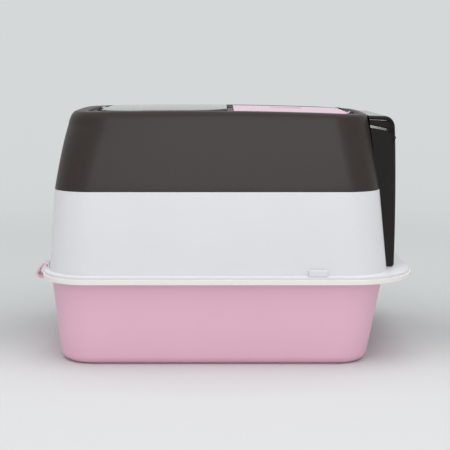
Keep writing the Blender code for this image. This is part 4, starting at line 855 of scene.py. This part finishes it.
# the room that band and shell take up is cut from its back
above = roofCrest + cutOver
belowStep = evenly(shellBaseRow, -fitGap)
atAbove = mixed(shellBaseRow, shellTopRow, (above - shellStep) / (roofCrest - shellStep))
carve(porch, standingForm(evenly(bandFoot, -shape["bandGap"] - fitGap), flangeUnder,
                          evenly(bandTopRow, -fitGap), shellStep + fitGap))
carve(porch, levelForm([np.append(belowStep, shellFoot), np.append(belowStep, shellStep),
                        np.append(evenly(atAbove, -fitGap), above)]))
flapX = porchFace(flapAxisZ) - flapShape["axisSetIn"]
flapAxis = (flapX, flapAxisZ)
notches = []
for side in (-1, 1):
    alongY = sorted((side * (entryRow[2] - cutOver), side * (entryRow[2] + flapShape["pivotWidth"] + fitGap)))
    notches.append(blockForm((flapX - shape["wall"] - cutOver, flapX + cutOver), alongY,
                             around(flapAxisZ, 2 * (flapShape["pivotRadius"] + fitGap))))
carve(porch, together(*notches))
finishPiece(porch, "hood", "porch_smoky", "entry_porch", angle=28)

# Pivot clips: a flat tail behind the porch's face and a nose over the flap's rod, half an ellipse
shape = flapShape
pivotBack = porchFace(flapAxisZ) - porchShape["wall"] - shape["pivotTail"]
turn = np.linspace(-math.pi / 2, math.pi / 2, 24)
pivotProfile = np.vstack([[pivotBack, flapAxisZ - shape["pivotRadius"]],
                          np.column_stack([flapX + shape["pivotNose"] * np.cos(turn),
                                           flapAxisZ + shape["pivotRadius"] * np.sin(turn)]),
                          [pivotBack, flapAxisZ + shape["pivotRadius"]]])
rodHalf = entryRow[2] + shape["pivotWidth"] - shape["pivotTail"]
for side, word in ((-1, "right"), (1, "left")):
    ends = sorted((side * entryRow[2], side * (entryRow[2] + shape["pivotWidth"])))
    pivot = makeObject("flap_pivot_clip_" + word, barForm(pivotProfile, *ends), porchSmoky)
    easeEdges(pivot, shape["pivotEdge"], 60)
    hole = sorted((side * (entryRow[2] - cutOver), side * (rodHalf + fitGap)))
    carve(pivot, rodForm(flapAxis, hole, shape["rod"] + fitGap))
    finishPiece(pivot, "hood", "porch_smoky", "flap_pivot_" + word)
wirePin("flap_wire", flapAxis, 0.0, 2 * rodHalf, shape["rod"], "flap_rod")

# Door flap: a thin clear panel with a raised border, hung from a bored barrel
flapRow = evenly(entryRow, shape["play"])
flapRow[1] = flapAxisZ - shape["barrel"] - shape["neckRise"]
fieldRow = evenly(flapRow, shape["border"])
half = shape["thickness"] / 2
proud = half + shape["borderRise"]
raisedRow = evenly(flapRow, shape["border"] - shape["borderRise"])
easedRow = evenly(flapRow, shape["borderRise"])
# the field's row stands twice at both ends, which sets close rows at the foot of each ramp
flapRows = profileOf((fieldRow, -half), (fieldRow, -half), (raisedRow, -proud), (easedRow, -proud),
                     (flapRow, -half), (flapRow, half), (easedRow, proud), (raisedRow, proud),
                     (fieldRow, half), (fieldRow, half), ease=shape["edge"])
flat = ringCurve(flapRows[:, :5])
flapGrid = np.stack([flapX + flapRows[:, 5:6] + 0 * flat[..., 0], flat[..., 1], flat[..., 0]], -1)
flap = makeObject("door_flap_panel", gridForm(flapGrid), clearSmoky, triangles=True)
barrelEnds = around(0.0, 2 * (entryRow[2] - shape["barrelSetIn"]))
neckEnds = (barrelEnds[0] + rootDepth, barrelEnds[1] - rootDepth)
neck = makeObject("neck", blockForm(around(flapX, shape["neck"]), neckEnds,
                                    (flapRow[1] - shape["border"] / 2, flapAxisZ)), clearSmoky)
carve(neck, rodForm(flapAxis, barrelEnds, shape["barrel"], shape["barrelChamfer"]), "UNION")
carve(neck, rodForm(flapAxis, (barrelEnds[0] - cutOver, barrelEnds[1] + cutOver), shape["rod"] + fitGap))
absorb(flap, [neck])
finishPiece(flap, "flap", "clear_smoky", "door_flap")

# Rear clips: a strip of even thickness along a skewed bow, with a finger window
shape = clipShape
clipTop = clipAxis[1] + shape["knuckle"] - shape["wall"] / 2
clipFoot = skirtFoot - shape["footDrop"]
share = np.linspace(0, 1, 40)
bulge = np.sin(math.pi * share ** shape["skew"])
bowX = rimRow[0] - fitGap - (rim["clipStandOut"] - fitGap - shape["wall"] / 2) * bulge / bulge.max()
bowZ = (clipTop + clipFoot) / 2 + (clipTop - clipFoot) / 2 * np.cos(math.pi * share)
path = np.vstack([[clipAxis[0], clipTop], np.column_stack([bowX, bowZ])])
along = np.gradient(path, axis=0)
along[0] = (-1, 0)
along[-1] = (1, 0)
along /= np.linalg.norm(along, axis=1)[:, None]
sideways = np.column_stack([along[:, 1], -along[:, 0]]) * shape["wall"] / 2
# the inner side leaves out the points that a tight bend brings nearer to the bow than half the wall
lengths = np.append(0, np.cumsum(np.linalg.norm(np.diff(path, axis=0), axis=1)))
evenLengths = np.linspace(0, lengths[-1], 600)
finePath = np.column_stack([np.interp(evenLengths, lengths, path[:, i]) for i in (0, 1)])
inner = path - sideways
inner = inner[np.linalg.norm(inner[:, None] - finePath, axis=2).min(1) > 0.48 * shape["wall"]]
clipProfile = np.vstack([inner, (path + sideways)[::-1]])
for side, word in ((-1, "right"), (1, "left")):
    y = side * clipY
    ends = around(y, shape["width"])
    clip = makeObject("rear_clip_body_" + word, barForm(clipProfile, *ends), clipPink)
    easeEdges(clip, shape["edge"], 50)
    carve(clip, rodForm(clipAxis, ends, shape["knuckle"], shape["chamfer"]), "UNION")
    window = blockForm((rimRow[0] - rim["clipStandOut"] - cutOver, rimRow[0] - shape["wall"] / 2),
                       around(y, shape["windowWidth"]),
                       around((clipAxis[1] + skirtFoot) / 2, shape["windowHeight"]))
    carve(clip, together(rodForm(clipAxis, (ends[0] - cutOver, ends[1] + cutOver), clipBore), window))
    finishPiece(clip, "clip_" + word, "clip_pink", "rear_clip_" + word)

# CAD nodes whose shape is right keep it and get the moulded materials
keptNodes = {"side_lock_left": bandWhite, "side_lock_right": bandWhite, "filter_tray": shellSmoky}
for name, material in keptNodes.items():
    nodes[name].data.materials.clear()
    nodes[name].data.materials.append(material)
print("pieces finished")

# Stage: one large paper floor, palest towards the camera, with a painted shade behind the object, running up
# into a soft studio sky. The painted shade is a darker colour that falls off by a power of the nearness to a
# point under the camera, and lies only on the object's side of it; far off the floor shows its colour as it
# is, so that it meets the sky unseen.
stage = {"size": 160.0, "tableColour": "#d4d5d6", "skyColour": "#d4d8d8", "paintedShadeColour": "#b4b8b8",
         "roughness": 0.75, "gloss": 0.1, "tableCentre": (0.0, -1.2, 0.0), "tableRadius": 1.18,
         "softEdge": 0.19, "sweepCentre": (0.0, -1.77, 0.0), "sweepReach": 1.78, "sweepPower": 3.5,
         "paintedShadeFrom": (-0.9, -0.3), "litShare": 1.01, "litReach": (0.7, 1.8), "skyLight": 0.60,
         "darkSide": 0.45, "upShare": 0.8, "sideShare": -0.8}


def seenRays(tree):
    # one for rays from the camera, from glossy surfaces and through clear ones
    rays = addNode(tree, "LightPath")
    seen = rays.outputs["Is Camera Ray"]
    for kind in ("Is Glossy Ray", "Is Transmission Ray"):
        seen = addNode(tree, "Math", {"operation": "MAXIMUM"}, {0: seen, 1: rays.outputs[kind]}).outputs[0]
    return rays, seen


square = np.array([[-1, -1, 0], [1, -1, 0], [1, 1, 0], [-1, 1, 0]]) * stage["size"] / 2
floor = makeObject("studio_floor", (square, [[0, 1, 2, 3]]))
floorMaterial, tree, shader, place = startMaterial("paper sweep, matt", stage)
fromTable = addNode(tree, "VectorMath", {"operation": "DISTANCE", 1: stage["tableCentre"]}, {0: place})
sweepShare = addNode(tree, "MapRange", {"interpolation_type": "SMOOTHSTEP",
                                        "From Min": stage["tableRadius"] - stage["softEdge"],
                                        "From Max": stage["tableRadius"] + stage["softEdge"]},
                     {"Value": fromTable.outputs["Value"]})
fromSweep = addNode(tree, "VectorMath", {"operation": "DISTANCE", 1: stage["sweepCentre"]}, {0: place})
nearness = addNode(tree, "Math", {"operation": "DIVIDE", 0: stage["sweepReach"]},
                   {1: fromSweep.outputs["Value"]})
fallOff = addNode(tree, "Math", {"operation": "POWER", 1: stage["sweepPower"], "use_clamp": True},
                  {0: nearness.outputs[0]})
# painted shade: the floor's colour turns towards the shade colour near a point under the camera, on the
# object's side only
farSide = addNode(tree, "MapRange", {"interpolation_type": "SMOOTHSTEP", "From Min": stage["paintedShadeFrom"][0],
                                     "From Max": stage["paintedShadeFrom"][1]},
                  {"Value": addNode(tree, "SeparateXYZ", None, {0: place}).outputs["Y"]})
paintedShade = addNode(tree, "Math", {"operation": "MULTIPLY"},
                {0: fallOff.outputs[0], 1: farSide.outputs["Result"]})
sweep = addNode(tree, "Mix", {"data_type": "RGBA", 6: linear(stage["skyColour"]),
                              7: linear(stage["paintedShadeColour"])}, {0: paintedShade.outputs[0]})
litSweep = addNode(tree, "VectorMath", {"operation": "SCALE", "Scale": stage["litShare"]},
                   {0: sweep.outputs[2]})
floorMix = addNode(tree, "Mix", {"data_type": "RGBA", 6: linear(stage["tableColour"])},
                   {0: sweepShare.outputs["Result"], 7: litSweep.outputs[0]})
tree.links.new(floorMix.outputs[2], shader.inputs["Base Color"])
fromObject = addNode(tree, "VectorMath", {"operation": "LENGTH"}, {0: place})
farShare = addNode(tree, "MapRange", {"From Min": stage["litReach"][0], "From Max": stage["litReach"][1]},
                   {"Value": fromObject.outputs["Value"]})
rays, seen = seenRays(tree)
shownShare = addNode(tree, "Math", {"operation": "MULTIPLY"}, {0: farShare.outputs["Result"], 1: seen})
glow = addNode(tree, "Emission", None, {"Color": sweep.outputs[2]})
floorLook = addNode(tree, "MixShader", None, {0: shownShare.outputs[0], 1: shader.outputs[0],
                                              2: glow.outputs[0]})
tree.links.new(floorLook.outputs[0], tree.nodes["Material Output"].inputs["Surface"])
floor.data.materials.append(floorMaterial)

# The sky: even light, one pale colour where it is seen, and for reflections dimmer walls behind the camera
# and at both sides: the level follows Y plus a share of Z less a share of the distance along X
world = bpy.data.worlds.new("studio sky")
world.use_nodes = True
bpy.context.scene.world = world
tree = world.node_tree
tree.nodes.clear()
rays, seen = seenRays(tree)
towards = addNode(tree, "SeparateXYZ", None, {0: addNode(tree, "TexCoord").outputs["Generated"]})
aside = addNode(tree, "Math", {"operation": "ABSOLUTE"}, {0: towards.outputs["X"]})
behind = addNode(tree, "Math", {"operation": "MULTIPLY_ADD", 1: stage["sideShare"]},
                 {0: aside.outputs[0], 2: towards.outputs["Y"]})
above = addNode(tree, "Math", {"operation": "MULTIPLY_ADD", 1: stage["upShare"]},
                {0: towards.outputs["Z"], 2: behind.outputs[0]})
dimming = addNode(tree, "MapRange", {"From Min": -0.5, "From Max": 0.5, "To Min": stage["darkSide"],
                                     "To Max": 1.0}, {"Value": above.outputs[0]})
level = addNode(tree, "Mix", {"data_type": "FLOAT", 2: 1.0}, {0: rays.outputs["Is Glossy Ray"],
                                                             3: dimming.outputs["Result"]})
ambient = addNode(tree, "Background", {"Color": (1, 1, 1, 1), "Strength": stage["skyLight"]})
shown = addNode(tree, "Background", {"Color": linear(stage["skyColour"])}, {"Strength": level.outputs[0]})
mixSky = addNode(tree, "MixShader", None, {0: seen, 1: ambient.outputs[0], 2: shown.outputs[0]})
addNode(tree, "OutputWorld", None, {"Surface": mixSky.outputs[0]})

# the front lamp only fills; the window and the strip are bright patches that show in smooth surfaces
lamps = {"overhead": {"place": (0.0, -0.4, 2.4), "turn": (0, 0, 0), "size": (2.6, 2.6), "power": 40,
                      "lights": True, "mirrored": False},
         "front": {"place": (0.3, -2.6, 1.6), "turn": (62, 0, 6), "size": (2.2, 2.2), "power": 15,
                   "lights": True, "mirrored": False},
         "window": {"place": (-0.3, -2.6, 1.2), "turn": (70, 0, 0), "size": (0.6, 0.35), "power": 7.5,
                    "lights": False, "mirrored": True},
         "strip": {"place": (0.62, -2.6, 1.35), "turn": (68, 0, 10), "size": (0.44, 0.30), "power": 8.0,
                   "lights": False, "mirrored": True}}
for name, lamp in lamps.items():
    light = bpy.data.lights.new(name, "AREA")
    light.shape = "RECTANGLE"
    light.size, light.size_y = lamp["size"]
    light.energy = lamp["power"]
    lightObject = bpy.data.objects.new(name, light)
    lightObject.visible_diffuse = lamp["lights"]
    lightObject.visible_transmission = lamp["lights"]
    lightObject.visible_glossy = lamp["mirrored"]
    lightObject.location = lamp["place"]
    lightObject.rotation_euler = [math.radians(v) for v in lamp["turn"]]
    bpy.context.scene.collection.objects.link(lightObject)

view = {"place": (0.0015, -1.77, 0.432), "pitch": 82.0, "lens": 87.6, "clipEnd": 200}
camera = bpy.data.objects.new("camera", bpy.data.cameras.new("camera"))
camera.location = view["place"]
camera.rotation_euler = (math.radians(view["pitch"]), 0, 0)
camera.data.lens = view["lens"]
camera.data.clip_end = view["clipEnd"]
bpy.context.scene.collection.objects.link(camera)
bpy.context.scene.camera = camera
bpy.context.scene.view_settings.view_transform = "Standard"
print("stage, lights and camera ready")

bpy.context.view_layer.update()
